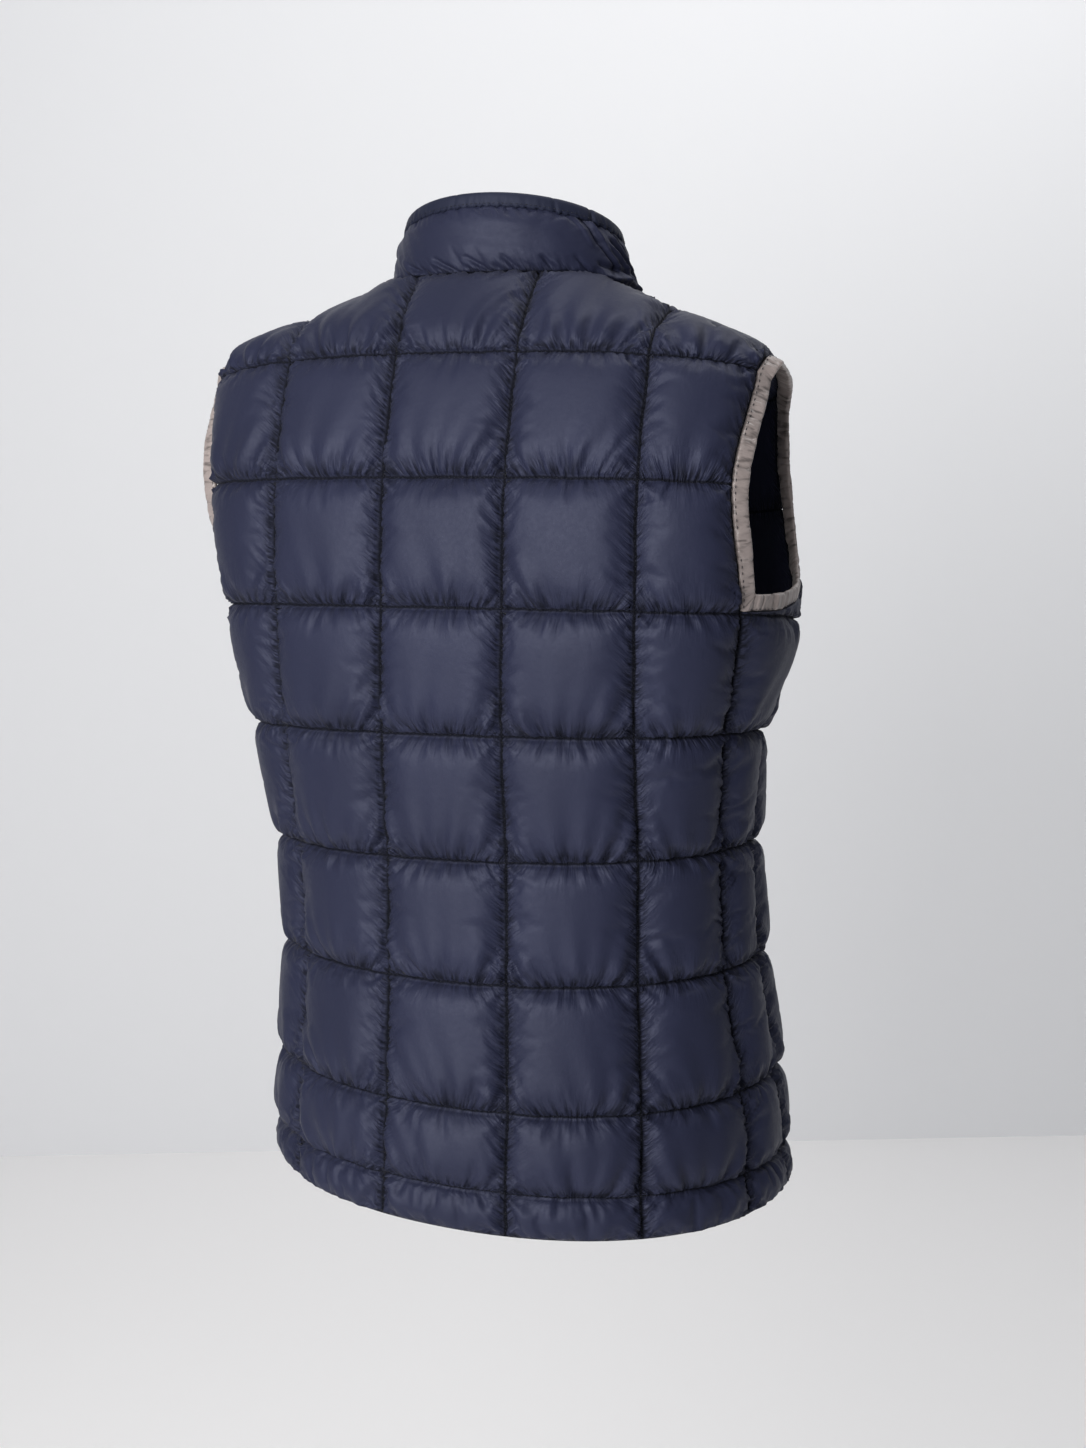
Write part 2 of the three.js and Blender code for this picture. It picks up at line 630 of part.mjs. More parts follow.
function zipChain() {
  const below = SLIDER.belowTop + SLIDER.height / 2 + SEAM_GAP;
  const frames = cutLine(closureLine(), BOX.height + SEAM_GAP, below);
  const deep = CHAIN.setBack + CHAIN.thick;
  const { half } = CHAIN;
  const section = [[-half, -CHAIN.setBack], [-half, -deep], [half, -deep],
    [half, -CHAIN.setBack]];
  return strip(frames, section);
}

// An outline in the plane across and out of the closure, drawn up over a height.
function prism(outline, height) {
  const geometry = new THREE.ExtrudeGeometry(new THREE.Shape(outline), {
    depth: height, bevelEnabled: false,
  });
  return geometry.translate(0, 0, -height / 2);
}

const wasm = await Module();
wasm.setup();

function toSolid(geometry) {
  const bare = geometry.clone();
  bare.deleteAttribute('normal');
  bare.deleteAttribute('uv');
  const merged = mergeVertices(bare, 1e-4);
  return new wasm.Manifold(new wasm.Mesh({
    numProp: 3,
    vertProperties: merged.attributes.position.array,
    triVerts: Uint32Array.from(merged.index.array),
  }));
}

function toGeometry(solid) {
  const mesh = solid.getMesh();
  const geometry = new THREE.BufferGeometry();
  geometry.setAttribute('position', new THREE.BufferAttribute(mesh.vertProperties, 3));
  geometry.setIndex(new THREE.BufferAttribute(mesh.triVerts, 1));
  return geometry;
}

// In the slider's frame: X across the closure, -Y out of the front, Z up along the closure.
const FRONT_FACE = SLIDER.play + SLIDER.plate - TAPE.setBack;
const HINGE_OUT = FRONT_FACE + BAIL.room / 2;

function sliderBody() {
  const half = SLIDER.width / 2;
  const core = SLIDER.coreHalf;
  const front = TAPE.setBack - SLIDER.play;
  const back = TAPE.setBack + TAPE.thick + SLIDER.play;
  const corner = 0.5;
  const at = (x, y) => new THREE.Vector2(x, y);
  const outline = [at(corner - half, -FRONT_FACE), at(half - corner, -FRONT_FACE),
    at(half, corner - FRONT_FACE), at(half, front), at(core, front), at(core, back),
    at(half, back), at(half, back + SLIDER.plate), at(-half, back + SLIDER.plate),
    at(-half, back), at(-core, back), at(-core, front), at(-half, front),
    at(-half, corner - FRONT_FACE)];
  const body = prism(outline, SLIDER.height);
  const foot = 0.3;
  const reach = BAIL.room + BAIL.wall;
  const tall = BAIL.height / 2;
  const inner = tall - BAIL.wall;
  const arch = [at(-tall, -foot), at(-inner, -foot), at(-inner, BAIL.room),
    at(inner, BAIL.room), at(inner, -foot), at(tall, -foot), at(tall, reach - BAIL.wall),
    at(tall - BAIL.wall, reach), at(BAIL.wall - tall, reach), at(-tall, reach - BAIL.wall)];
  const bail = prism(arch, BAIL.width);
  bail.rotateY(-Math.PI / 2);
  bail.rotateX(Math.PI);
  bail.translate(0, -FRONT_FACE, 0);
  return toGeometry(toSolid(body).add(toSolid(bail)));
}

// The pull's eye closes round the bail, and its bar turns on the line y = 0, z = 0.
function pullTab() {
  const { bar, eyeHalf, arm, eyeLength, length, width } = PULL;
  const shoulder = eyeHalf + arm;
  const top = bar / 2;
  const neck = -eyeLength - 3;
  const round = width / 2;
  const steps = 8;
  const end = Array.from({ length: steps + 1 }, (_, i) => {
    const turn = Math.PI * (1 + i / steps);
    return new THREE.Vector2(round * Math.cos(turn), top - length + round * (1 + Math.sin(turn)));
  });
  const at = (x, y) => new THREE.Vector2(x, y);
  const tab = new THREE.Shape([at(-shoulder, top), at(-shoulder, neck + 2), at(-round, neck),
    ...end, at(round, neck), at(shoulder, neck + 2), at(shoulder, top)]);
  const eye = new THREE.Path([at(-eyeHalf, top - bar), at(eyeHalf, top - bar),
    at(eyeHalf, -eyeLength), at(-eyeHalf, -eyeLength)]);
  tab.holes.push(eye);
  const geometry = new THREE.ExtrudeGeometry(tab, { depth: bar, bevelEnabled: false });
  return geometry.translate(0, 0, -bar / 2).rotateX(Math.PI / 2);
}

function zipBox() {
  const { width, height, thick } = BOX;
  const half = width / 2;
  const corner = 0.8;
  const deep = thick / 2;
  const at = (x, y) => new THREE.Vector2(x, y);
  const outline = [at(corner - half, -deep), at(half - corner, -deep), at(half, corner - deep),
    at(half, deep - corner), at(half - corner, deep), at(corner - half, deep),
    at(-half, deep - corner), at(-half, corner - deep)];
  return prism(outline, height);
}

// ---- the vest --------------------------------------------------------------------------------

const vest = new THREE.Group();
vest.name = 'down_vest';

function addPiece(name, geometry, material, parent = vest) {
  const piece = new THREE.Mesh(geometry, material);
  piece.name = name;
  parent.add(piece);
  return piece;
}

addPiece('back_panel', backPanel(), NAVY);
addPiece('front_left', frontPanel(1), NAVY);
addPiece('front_right', frontPanel(-1), NAVY);
addPiece('collar', collar(), NAVY);
addPiece('collar_edge', collarEdge(), NAVY_EDGE);
addPiece('armhole_binding_left', armholeBinding(1), TAUPE);
addPiece('armhole_binding_right', armholeBinding(-1), TAUPE);
addPiece('zip_tape_left', zipTape(1), TAPE_CLOTH);
addPiece('zip_tape_right', zipTape(-1), TAPE_CLOTH);
addPiece('zip_chain', zipChain(), TEETH);

const [hemFrame, nextFrame] = closureLine();
const boxUp = nextFrame.point.clone().sub(hemFrame.point).normalize();
const box = addPiece('zip_box', zipBox(), TEETH);
box.position.copy(hemFrame.point).addScaledVector(boxUp, BOX.height / 2)
  .addScaledVector(hemFrame.out, -STITCHED / 2);
box.rotation.x = -Math.atan2(boxUp.y, boxUp.z);

const { origin, lean } = sliderFrame();
const sliderPlace = new THREE.Group();
sliderPlace.position.copy(origin);
sliderPlace.rotation.x = -lean;
vest.add(sliderPlace);
addPiece('zip_slider', sliderBody(), METAL, sliderPlace);
const pull = addPiece('zip_pull', pullTab(), METAL, sliderPlace);
pull.position.y = -HINGE_OUT;

export default vest;
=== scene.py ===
"""Quilted down vest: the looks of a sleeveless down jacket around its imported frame.

Metres. +Z is up, +Y towards the wearer's back, +X towards the wearer's left.
The cloth's form is worked out in millimetres from the same sections as the frame's solids.
"""
import math

import bmesh
import bpy
import numpy as np
from bpy.props import FloatProperty, FloatVectorProperty, IntProperty, PointerProperty
from mathutils import Matrix, Vector


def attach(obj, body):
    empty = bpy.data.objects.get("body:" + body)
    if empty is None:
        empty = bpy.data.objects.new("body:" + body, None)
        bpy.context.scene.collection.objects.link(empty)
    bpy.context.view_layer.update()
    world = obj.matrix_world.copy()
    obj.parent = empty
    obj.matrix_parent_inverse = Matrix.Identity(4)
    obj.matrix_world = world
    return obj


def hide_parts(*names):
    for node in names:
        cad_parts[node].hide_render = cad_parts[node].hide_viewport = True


bl_info = {
    "name": "Quilted Down Vest",
    "version": (1, 0, 0),
    "blender": (4, 5, 0),
    "location": "View3D > Sidebar > Vest",
    "description": "Sews, fills and finishes a quilted down vest around its frame",
    "category": "Object",
}

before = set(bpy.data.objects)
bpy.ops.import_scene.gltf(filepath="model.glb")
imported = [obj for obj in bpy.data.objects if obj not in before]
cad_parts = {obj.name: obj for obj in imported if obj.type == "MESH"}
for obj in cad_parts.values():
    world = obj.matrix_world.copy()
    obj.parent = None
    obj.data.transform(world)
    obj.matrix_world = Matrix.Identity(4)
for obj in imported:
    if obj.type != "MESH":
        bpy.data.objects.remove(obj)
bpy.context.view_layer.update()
MM = 0.001


# ---- the form of the cloth, in millimetres ---------------------------------------------------

def table(columns, *rows):
    """A table of named columns, as a dict of tuples."""
    return dict(zip(columns.split(), zip(*rows)))


def unit(vectors):
    return vectors / np.maximum(np.linalg.norm(vectors, axis=-1, keepdims=True), 1e-12)


def running(values):
    """The sums so far of some values, from 0."""
    return np.concatenate([[0], np.cumsum(values)])


def length_along(points):
    """How far along a line each of its points is."""
    return running(np.linalg.norm(np.diff(points, axis=0), axis=1))


def turned(first, second, angle):
    """Two directions at right angles, turned together, the first towards the second."""
    return (first * np.cos(angle) + second * np.sin(angle),
            second * np.cos(angle) - first * np.sin(angle))


def halves(distance):
    """Each side of a centre line, -1 and 1, and which distances lie on it."""
    return (-1, distance < 0), (1, distance >= 0)


# One row for each line of quilting from the hem up: half width, more width on the wearer's
# left, depth behind and before the widest place, squareness of the back, height at the centre
# of the back, drop per 100 towards the sides, further drop at the front centre, shift towards
# the left, rise per 100 towards the left, place of the widest depth, width of a square.
SECTIONS = table(
    "row half left back front corner z fall drop shift lean mid cell",
    (0.00, 201, 0, 172, 111, 2.13, -696, 3.6, 6, -6, 2.9, -4, 98),
    (0.33, 198, 0, 168, 110, 2.17, -666, 5.4, 7, -5, 2.0, -5, 97),
    (1.00, 193, 0, 159, 108, 2.20, -611, 1.7, 12, -4, 1.3, -6, 96),
    (2.00, 186, 0, 142, 106, 2.13, -523, 2.4, 14, 0, -0.1, -4, 94),
    (3.00, 184, 0, 127, 112, 2.27, -436, 4.1, 16, 2, -1.8, 2, 94),
    (4.00, 194, 0, 116, 120, 2.53, -346, 8.1, 18, 4, -1.5, 11, 94),
    (5.00, 218, 0, 115, 122, 2.73, -256, 12.3, 20, 2, -0.4, 10, 94),
    (6.00, 227, 8, 110, 112, 2.75, -166, 16.5, 22, 2, 0.2, 5, 94),
    (7.00, 222, 14, 92, 92, 2.57, -80, 33.0, 10, 3, 0.5, -5, 94),
)
# Where the panels end at the side, in squares from their centre line.
BACK_EDGE = table(
    "row at more_left",
    (0, 2.48, 0), (0.33, 2.48, 0), (1, 2.44, 0), (2, 2.30, 0), (3, 2.25, 0), (4, 2.27, 0),
    (5, 2.31, 0), (6, 2.19, 0.20), (7, 2.31, 0.16), (8, 2.31, 0),
)
FRONT_EDGE = table(
    "row at more_left",
    (5, 2.50, 0), (5.25, 2.50, 0.03), (5.5, 2.34, 0.08), (6, 2.18, 0.12), (6.5, 2.12, 0.14),
    (7, 2.14, 0.14), (8, 2.25, 0),
)
UNDERARM_RISE = (0.25, 0.13, 0.06, 0.03, 0.02)   # from the armhole's front corner to the seam
YOKE_ROW, TOP_ROW, ARMHOLE_ROW, CORNER_ROW = 7, 8, 5, 5.25
QUILT_ROWS = (0, 0.33, 1, 2, 3, 4, 5, 6, 7, 8)
BACK_COLUMNS = (-1.5, -0.5, 0.5, 1.5)
FRONT_COLUMNS = (0.5, 1.5)
UNDERARM_LINE = 2.5
BACK_ROOM = 2.3               # the back's side edge, for how high down can stand beside it
FRONT_ROOM = (0.06, 2.4, 3.2)     # the same for the closure, the underarm line and the side
FRONT_CORNER = 2.35
YOKE_FULLNESS = 0.25
CLOSURE_HALF = 6
SEAM_GAP = 0.3
STITCHED = 3                  # the frame's wall where it is stitched flat
PUFF_IN = 5                   # how far down fills the inside of a square
PUFF_FULLNESS = 0.7
OUTLINE_STEPS = 480

NECK = {"x": 7, "y": -30, "half": 96, "back": 74, "front": 55, "z_back": -23, "z_front": -62,
        "bow": 2}
COLLAR_TOP = {"x": 5, "y": -27, "half": 82, "back": 66, "front": 50, "z_back": 33,
              "z_front": -8, "bow": 1}
NECK_CORNER = math.radians(69.6)
NECK_CORNER_DROP = 4
NECK_SQUARES = {"back": 1, "front": 1.25}
NECK_CROWDING = 0.18          # how much closer the back's columns lie at the nape
SHOULDER_END = {"half": 211, "shift": 4, "y": 28, "z": -83, "lean": 3.8, "slope": 0.5}
EDGE_HEIGHT = 9               # the turned edge along the collar's top
BINDING = {"width": 12, "thick": 4.4, "gap": 0.5}


def read_table(columns, name, row):
    """A smooth curve through one column of a table, at a row."""
    rows, values = columns["row"], columns[name]
    last = len(rows) - 1
    at = min(max(row, rows[0]), rows[last])
    i = 0
    while i < last - 1 and at > rows[i + 1]:
        i += 1

    def slope(k):
        low, high = max(k - 1, 0), min(k + 1, last)
        return (values[high] - values[low]) / (rows[high] - rows[low])

    span = rows[i + 1] - rows[i]
    t = (at - rows[i]) / span
    ends = values[i] * (2 * t**3 - 3 * t**2 + 1) + values[i + 1] * (3 * t**2 - 2 * t**3)
    return ends + span * (slope(i) * (t**3 - 2 * t**2 + t) + slope(i + 1) * (t**3 - t**2))


def half_outline(section, side):
    """Half of a section from the back centre to the front centre, with its length so far."""
    turn = np.linspace(0, np.pi, OUTLINE_STEPS + 1)
    behind = turn <= np.pi / 2 + 1e-9
    power = 2 / np.where(behind, section["corner"], FRONT_CORNER)
    width = section["half"] + (section["left"] if side > 0 else 0)
    x = width * np.abs(np.sin(turn)) ** power
    y = np.where(behind, section["back"], -section["front"]) * np.abs(np.cos(turn)) ** power
    return x, y, running(np.hypot(np.diff(x), np.diff(y)))


def section_at(row):
    """The sizes of the body's section at a row."""
    return {name: read_table(SECTIONS, name, row) for name in SECTIONS}


def section_points(row, distance, facing):
    """Points of a section at distances from its centre line, more than 0 on the left."""
    s = section_at(row)
    points = np.empty((len(distance), 3))
    for side, here in halves(distance):
        x, y, length = half_outline(s, side)
        along = np.abs(distance[here])
        if facing == "front":
            along = length[-1] - along
        aside = side * np.interp(along, length, x)
        behind = np.interp(along, length, y)
        z = (s["z"] - s["fall"] * (s["back"] - np.maximum(behind, 0)) / 100
             - s["drop"] * np.maximum(-behind, 0) / s["front"] + s["lean"] * aside / 100)
        points[here] = np.stack([aside + s["shift"], behind + s["mid"], z], -1)
    return points


def oval_points(oval, turn):
    """Points of the neck seam or the collar's rim, turned from the back centre to the left."""
    y = np.where(np.cos(turn) >= 0, oval["back"], oval["front"]) * np.cos(turn)
    share = (oval["back"] - y) / (oval["back"] + oval["front"])
    z = oval["z_back"] + (oval["z_front"] - oval["z_back"]) * share ** oval["bow"]
    return np.stack([oval["x"] + oval["half"] * np.sin(turn), oval["y"] + y, z], -1)


def neck_arc(facing):
    """Turns from a centre line to the shoulder seam, and the share of the way there."""
    turn = np.linspace(0 if facing == "back" else np.pi, NECK_CORNER, 201)
    length = length_along(oval_points(NECK, turn))
    return turn, length / length[-1]


NECK_ARCS = {facing: neck_arc(facing) for facing in ("back", "front")}


def neck_points(share, side, facing):
    """Points of the neck seam at shares of the way to the shoulder seam."""
    turns, shares = NECK_ARCS[facing]
    points = oval_points(NECK, side * np.interp(share, shares, turns))
    points[:, 2] -= NECK_CORNER_DROP * share**4
    return points


def shoulder_share(squares, facing):
    """How far along the shoulder seam each place is, from 0 at the neck."""
    edge = read_table(BACK_EDGE if facing == "back" else FRONT_EDGE, "at", TOP_ROW)
    neck = NECK_SQUARES[facing]
    return np.maximum((squares - neck) / (edge - neck), 0)


def top_points(squares, side, facing):
    """The upper edge of a panel: the neck seam and the straight shoulder seam."""
    neck = NECK_SQUARES[facing]
    share = np.minimum(squares / neck, 1)
    if facing == "back":
        share = (1 - NECK_CROWDING) * share + NECK_CROWDING * share**2
    at_neck = neck_points(share, side, facing)
    end = np.array([SHOULDER_END["half"] * side + SHOULDER_END["shift"], SHOULDER_END["y"],
                    SHOULDER_END["z"] + SHOULDER_END["lean"] * side])
    return at_neck + (end - at_neck) * shoulder_share(squares, facing)[:, None]


def cloth_row(squares, row, facing):
    """Points of the stitched cloth along one row, squares from the panel's centre line."""
    if row <= YOKE_ROW:
        return section_points(row, squares * read_table(SECTIONS, "cell", row), facing)
    just_below = YOKE_ROW - 0.1
    start = cloth_row(squares, YOKE_ROW, facing)
    slope = start - cloth_row(squares, just_below, facing)
    end = np.empty_like(start)
    for side, here in halves(squares):
        end[here] = top_points(np.abs(squares[here]), side, facing)
    reach = np.linalg.norm(end - start, axis=1, keepdims=True) * YOKE_FULLNESS
    middle = start + slope / np.linalg.norm(slope, axis=1, keepdims=True) * reach
    t = row - YOKE_ROW
    return (1 - t) ** 2 * start + 2 * t * (1 - t) * middle + t * t * end


def cloth(squares, rows, facing):
    """Points of the stitched cloth for arrays of squares and rows."""
    points = np.empty(squares.shape + (3,))
    for row in np.unique(rows):
        here = rows == row
        points[here] = cloth_row(squares[here], row, facing)
    return points


def back_edge(row, side):
    """Where the back ends at a row, in squares from its centre line."""
    more = read_table(BACK_EDGE, "more_left", row) if side > 0 else 0
    return read_table(BACK_EDGE, "at", row) + more


def front_seam(row, side):
    """Where the front meets the back at a row, in squares from the front's centre line."""
    total = half_outline(section_at(row), side)[2][-1]
    return total / read_table(SECTIONS, "cell", row) - back_edge(row, side)


def front_edge(row, side):
    """Where the front's chest ends at a row, before the piece under the arm."""
    if row <= ARMHOLE_ROW:
        return UNDERARM_LINE
    more = read_table(FRONT_EDGE, "more_left", row) if side > 0 else 0
    return read_table(FRONT_EDGE, "at", row) + more


# ---- grids of cloth ----------------------------------------------------------------------------

ROW_STEPS = (14, 24, 38, 38, 38, 38, 40, 38, 42)
SQUARE_STEPS = 40
BACK_SIDE_STEPS = 32
FRONT_STEPS = (18, SQUARE_STEPS, SQUARE_STEPS, 32)
UNDERARM_SPARE = 0.7          # squares of grid beyond the chest that are taken away again


def spread(stations, steps):
    """Values from station to station, with so many steps between each pair."""
    parts = [np.linspace(low, high, n, endpoint=False)
             for low, high, n in zip(stations, stations[1:], steps)]
    return np.concatenate(parts + [[stations[-1]]])


def within(steps):
    """For each grid line, how far it is between the stitched lines on its two sides."""
    return np.concatenate([np.arange(n) / n for n in steps] + [[0.0]])


EDGE_REACH = 0.014          # how far from a cut edge a panel has its full thickness, in metres


class Cloth:
    """A panel's cloth as a grid: its form, the way out of it, and lengths along it.

    points   the stitched form, in metres         out    the direction out of the cloth
    across   length along each row                up     length along each column
    lines    the columns and the rows of the grid that are stitched or sewn
    share    how far each point is between two lines, across and up
    present  which squares of the grid are cloth
    free     1 inside a panel, down to 0 at a cut edge
    room     how high down can stand in each square, at most 1
    """

    def __init__(self, points, out, steps, room=None, present=None):
        self.points = points
        self.out = out
        self.across, self.up = self.lengths()
        self.lines = [running(counts) for counts in steps]
        across, up = within(steps[0]), within(steps[1])
        self.share = np.meshgrid(across, up)
        shape = (points.shape[0] - 1, points.shape[1] - 1)
        self.present = np.ones(shape, bool) if present is None else present
        self.free = self.clear_of_edge()
        room_across, room_up = room or (np.ones(len(across)), np.ones(len(up)))
        self.room = room_up[:, None] * room_across[None, :] * self.free

    def lengths(self):
        gaps = np.linalg.norm(np.diff(self.points, axis=1), axis=2)
        across = np.concatenate([np.zeros((len(gaps), 1)), np.cumsum(gaps, axis=1)], axis=1)
        gaps = np.linalg.norm(np.diff(self.points, axis=0), axis=2)
        up = np.concatenate([np.zeros((1, gaps.shape[1])), np.cumsum(gaps, axis=0)], axis=0)
        return across, up

    def clear_of_edge(self):
        """Rises from 0 at an edge cut between two lines, as under the arm, to 1 inside it."""
        free = np.ones(self.across.shape)
        for column in range(free.shape[1]):
            cloth_here = self.present[:, max(column - 1, 0):column + 1].all(axis=1)
            if not cloth_here.all():
                top = np.flatnonzero(~cloth_here)[0]
                to_edge = self.up[top, column] - self.up[:top + 1, column]
                free[:top + 1, column] = np.clip(to_edge / EDGE_REACH, 0, 1)
        return free

    def puff(self):
        """How full a square of down is, 0 on its stitching and 1 in its middle."""
        across, up = self.share
        return self.room * (16 * across * (1 - across) * up * (1 - up)) ** PUFF_FULLNESS

    def spaces(self):
        """Each point's place counted in spaces between lines, across and up."""
        before = [np.searchsorted(lines, np.arange(lines[-1] + 1), "right") - 1
                  for lines in self.lines]
        across, up = np.meshgrid(*before)
        return across + self.share[0], up + self.share[1]

    def from_seams(self):
        """Distances to the nearest upright seam and to the nearest level one, in metres."""
        upright = np.min([np.abs(self.across - self.across[:, line:line + 1])
                          for line in self.lines[0]], axis=0)
        level = np.min([np.abs(self.up - self.up[line:line + 1, :])
                        for line in self.lines[1]], axis=0)
        return upright, level

    def on_line(self, axis, line):
        """Where the points of one line are: 0 for a column and 1 for a row."""
        return (slice(None), line) if axis == 0 else (line, slice(None))

    def stitched(self):
        """Which points lie on a line of stitching or on a seam."""
        across, up = self.share
        return (across == 0) | (up == 0)


def directions_out(points, turn):
    """The way out of a grid of points, which turn, 1 or -1, sets the right way round."""
    across = np.gradient(points, axis=1)
    up = np.gradient(points, axis=0)
    return unit(np.cross(across, up)) * turn


def rooms(stations, steps):
    """How far each space between two lines lets the cloth rise, at most 1."""
    spaces = [math.sqrt(min(abs(high - low), 1)) for low, high in zip(stations, stations[1:])]
    return np.concatenate([np.full(n, room) for room, n in zip(spaces, steps)] + [[0.0]])


def top_out(squares, facing):
    """The way out along the upper edge: up at the neck, leaning to the side on a shoulder."""
    share = shoulder_share(np.abs(squares), facing)
    out = np.zeros(squares.shape + (3,))
    out[:, 0] = SHOULDER_END["slope"] * share * np.sign(squares)
    out[:, 2] = 1
    return unit(out)


def panel_cloth(squares, rows, facing, steps, turn, stations, present=None):
    """A panel's grid from the squares and rows of its points."""
    points = cloth(squares, rows, facing)
    out = directions_out(points, turn)
    out[-1] = top_out(squares[-1], facing)
    if present is not None:
        bottom = np.flatnonzero(~present[:, -1])[0]
        out[bottom, present[bottom].sum() + 1:] = out[bottom - 1, present[bottom].sum() + 1:]
    points[-1, :, 1] += SEAM_GAP / 2 if facing == "back" else -SEAM_GAP / 2
    room = (rooms(stations, steps[0]), rooms(QUILT_ROWS, steps[1]))
    return Cloth(points * MM, out, steps, room, present)


def back_cloth():
    steps = ((BACK_SIDE_STEPS,) + (SQUARE_STEPS,) * 3 + (BACK_SIDE_STEPS,), ROW_STEPS)
    rows = spread(QUILT_ROWS, ROW_STEPS)
    squares = []
    for row in rows:
        gap = SEAM_GAP / 2 / read_table(SECTIONS, "cell", row)
        ends = (gap - back_edge(row, -1), back_edge(row, 1) - gap)
        squares.append(spread((ends[0],) + BACK_COLUMNS + (ends[1],), steps[0]))
    squares = np.array(squares)
    stations = (-BACK_ROOM,) + BACK_COLUMNS + (BACK_ROOM,)
    return panel_cloth(squares, np.repeat(rows[:, None], squares.shape[1], 1), "back", steps,
                       -1, stations)


def front_cloth(side):
    steps = (FRONT_STEPS, ROW_STEPS)
    rows = spread(QUILT_ROWS, ROW_STEPS)
    chest = sum(FRONT_STEPS[:3])
    share = spread((0, 1), FRONT_STEPS[3:])
    rise = np.interp(share, np.linspace(0, 1, len(UNDERARM_RISE)), UNDERARM_RISE)
    squares, places = [], []
    for row in rows:
        cell = read_table(SECTIONS, "cell", row)
        main = spread((CLOSURE_HALF / cell,) + FRONT_COLUMNS + (front_edge(row, side),),
                      FRONT_STEPS[:3])
        climb = min(max(row - ARMHOLE_ROW, 0) / (CORNER_ROW - ARMHOLE_ROW), 1)
        low = min(row, ARMHOLE_ROW) + rise * climb
        ends = np.array([front_seam(at, side) - SEAM_GAP / 2 / cell for at in low])
        if row > CORNER_ROW:          # only continues the chest, where nothing is cut
            low = np.full(len(share), row)
            ends = main[-1] + UNDERARM_SPARE
        under = main[-1] + (ends - main[-1]) * share
        squares.append(side * np.concatenate([main[:-1], under]))
        places.append(np.concatenate([np.full(chest, row), low]))
    present = np.ones((len(rows) - 1, sum(FRONT_STEPS)), bool)
    present[rows[:-1] > CORNER_ROW - 1e-6, chest:] = False
    stations = FRONT_ROOM[:1] + FRONT_COLUMNS + FRONT_ROOM[1:]
    return panel_cloth(np.array(squares), np.array(places), "front", steps, side, stations,
                       present)


def neck_foot(turns):
    """Points of the neck seam at turns round it, from -pi over the right to pi."""
    foot = np.empty((len(turns), 3))
    for facing, near in (("back", np.abs(turns) <= NECK_CORNER),
                         ("front", np.abs(turns) > NECK_CORNER)):
        arc, shares = NECK_ARCS[facing]
        order = slice(None, None, 1 if facing == "back" else -1)
        for side in (-1, 1):
            here = near & (np.sign(turns + 1e-9) == side)
            share = np.interp(np.abs(turns[here]), arc[order], shares[order])
            foot[here] = neck_points(share, side, facing)
    return foot


def collar_uprights(steps):
    """The collar's foot and top, the way up and the way out, at steps round the neck."""
    arc, shares = NECK_ARCS["front"]
    square = CLOSURE_HALF / read_table(SECTIONS, "cell", TOP_ROW)
    end = np.interp(square / NECK_SQUARES["front"], shares, arc)
    turns = np.linspace(-end, end, steps + 1)
    foot = neck_foot(turns)
    around = np.concatenate([2 * foot[:1] - foot[1:2], foot, 2 * foot[-1:] - foot[-2:-1]])
    along = around[2:] - around[:-2]
    out = unit(np.stack([-along[:, 1], along[:, 0], np.zeros(len(along))], -1))
    foot = foot - out * SEAM_GAP
    top = oval_points(COLLAR_TOP, turns)
    up = unit(top - foot)
    return turns, foot, top - up * EDGE_HEIGHT, up, out


COLLAR_STEPS = (330, 43)
COLLAR_FOOT = 0.05            # how far the collar goes on under the neck seam, of its height


def collar_cloth():
    _, foot, top, _, out = collar_uprights(COLLAR_STEPS[0])
    height = np.concatenate([[-COLLAR_FOOT], np.linspace(0, 1, COLLAR_STEPS[1] + 1)])
    height = height[:, None, None]
    points = foot * (1 - height) + top * height
    outs = np.broadcast_to(out, points.shape).copy()
    return Cloth(points * MM, outs, ((COLLAR_STEPS[0],), (1, COLLAR_STEPS[1])))


# ---- gathers and folds -------------------------------------------------------------------------

GATHER_LENGTHS = (0.0058, 0.0085, 0.0128)     # from crest to crest along a seam
GATHER_REACH = 0.0045                         # from a seam to where its gathers stand highest
GATHER_SLANT = 0.8                            # gathers on upright seams run down to the seam
FAN_LENGTHS = (0.014, 0.021)
FAN_REACH = 0.014
FAN_SPREAD = 20                               # how fast a fan opens, per metre
FAN_FOOT = 0.09                               # how wide a fan is along its seam
CORNER_FOLDS, FEWER_FOLDS, FEWER_SHARE = 8, 5, 0.6        # folds round a crossing of lines
UNEVEN = {"least": 0.75, "swing": 0.45, "length": 0.017}  # heights along a row of gathers
TILT = {"swing": 0.5, "length": 0.021}                    # of gathers on an upright seam
WAVE = {"pitch": (0.85, 1.15), "height": (0.6, 1.2), "drift": 0.9, "drift_pitches": 4.3}
SLOW_LENGTHS = (2.1, 3.7)
CORNER_REACH, CORNER_LIMIT = 0.0055, 0.03
HEM_SHARE = 0.35                              # gathers at a hem, whose edge is not sewn
CRISP_SHARE = 0.6                             # gathers added again once the down has swelled


def any_turn(rng):
    """A turn for where a wave starts, in radians."""
    return rng.uniform(0, 6.28)


def waves(along, lengths, rng, lean=0.0):
    """An uneven row of crests and troughs along a line."""
    total = np.zeros_like(along)
    for length in lengths:
        pitch = length * rng.uniform(*WAVE["pitch"])
        start = rng.uniform(0, 2 * math.pi)
        drift = WAVE["drift"] * np.sin(
            2 * math.pi * along / (pitch * WAVE["drift_pitches"]) + any_turn(rng))
        total += rng.uniform(*WAVE["height"]) * np.sin(
            2 * math.pi * (along + lean) / pitch + start + drift)
    return total / math.sqrt(len(lengths))


def slow_noise(along, length, rng):
    """A smooth uneven value from -1 to 1 that changes over a length."""
    return sum(np.sin(2 * math.pi * along / (length * times) + any_turn(rng))
               for times in SLOW_LENGTHS) / len(SLOW_LENGTHS)


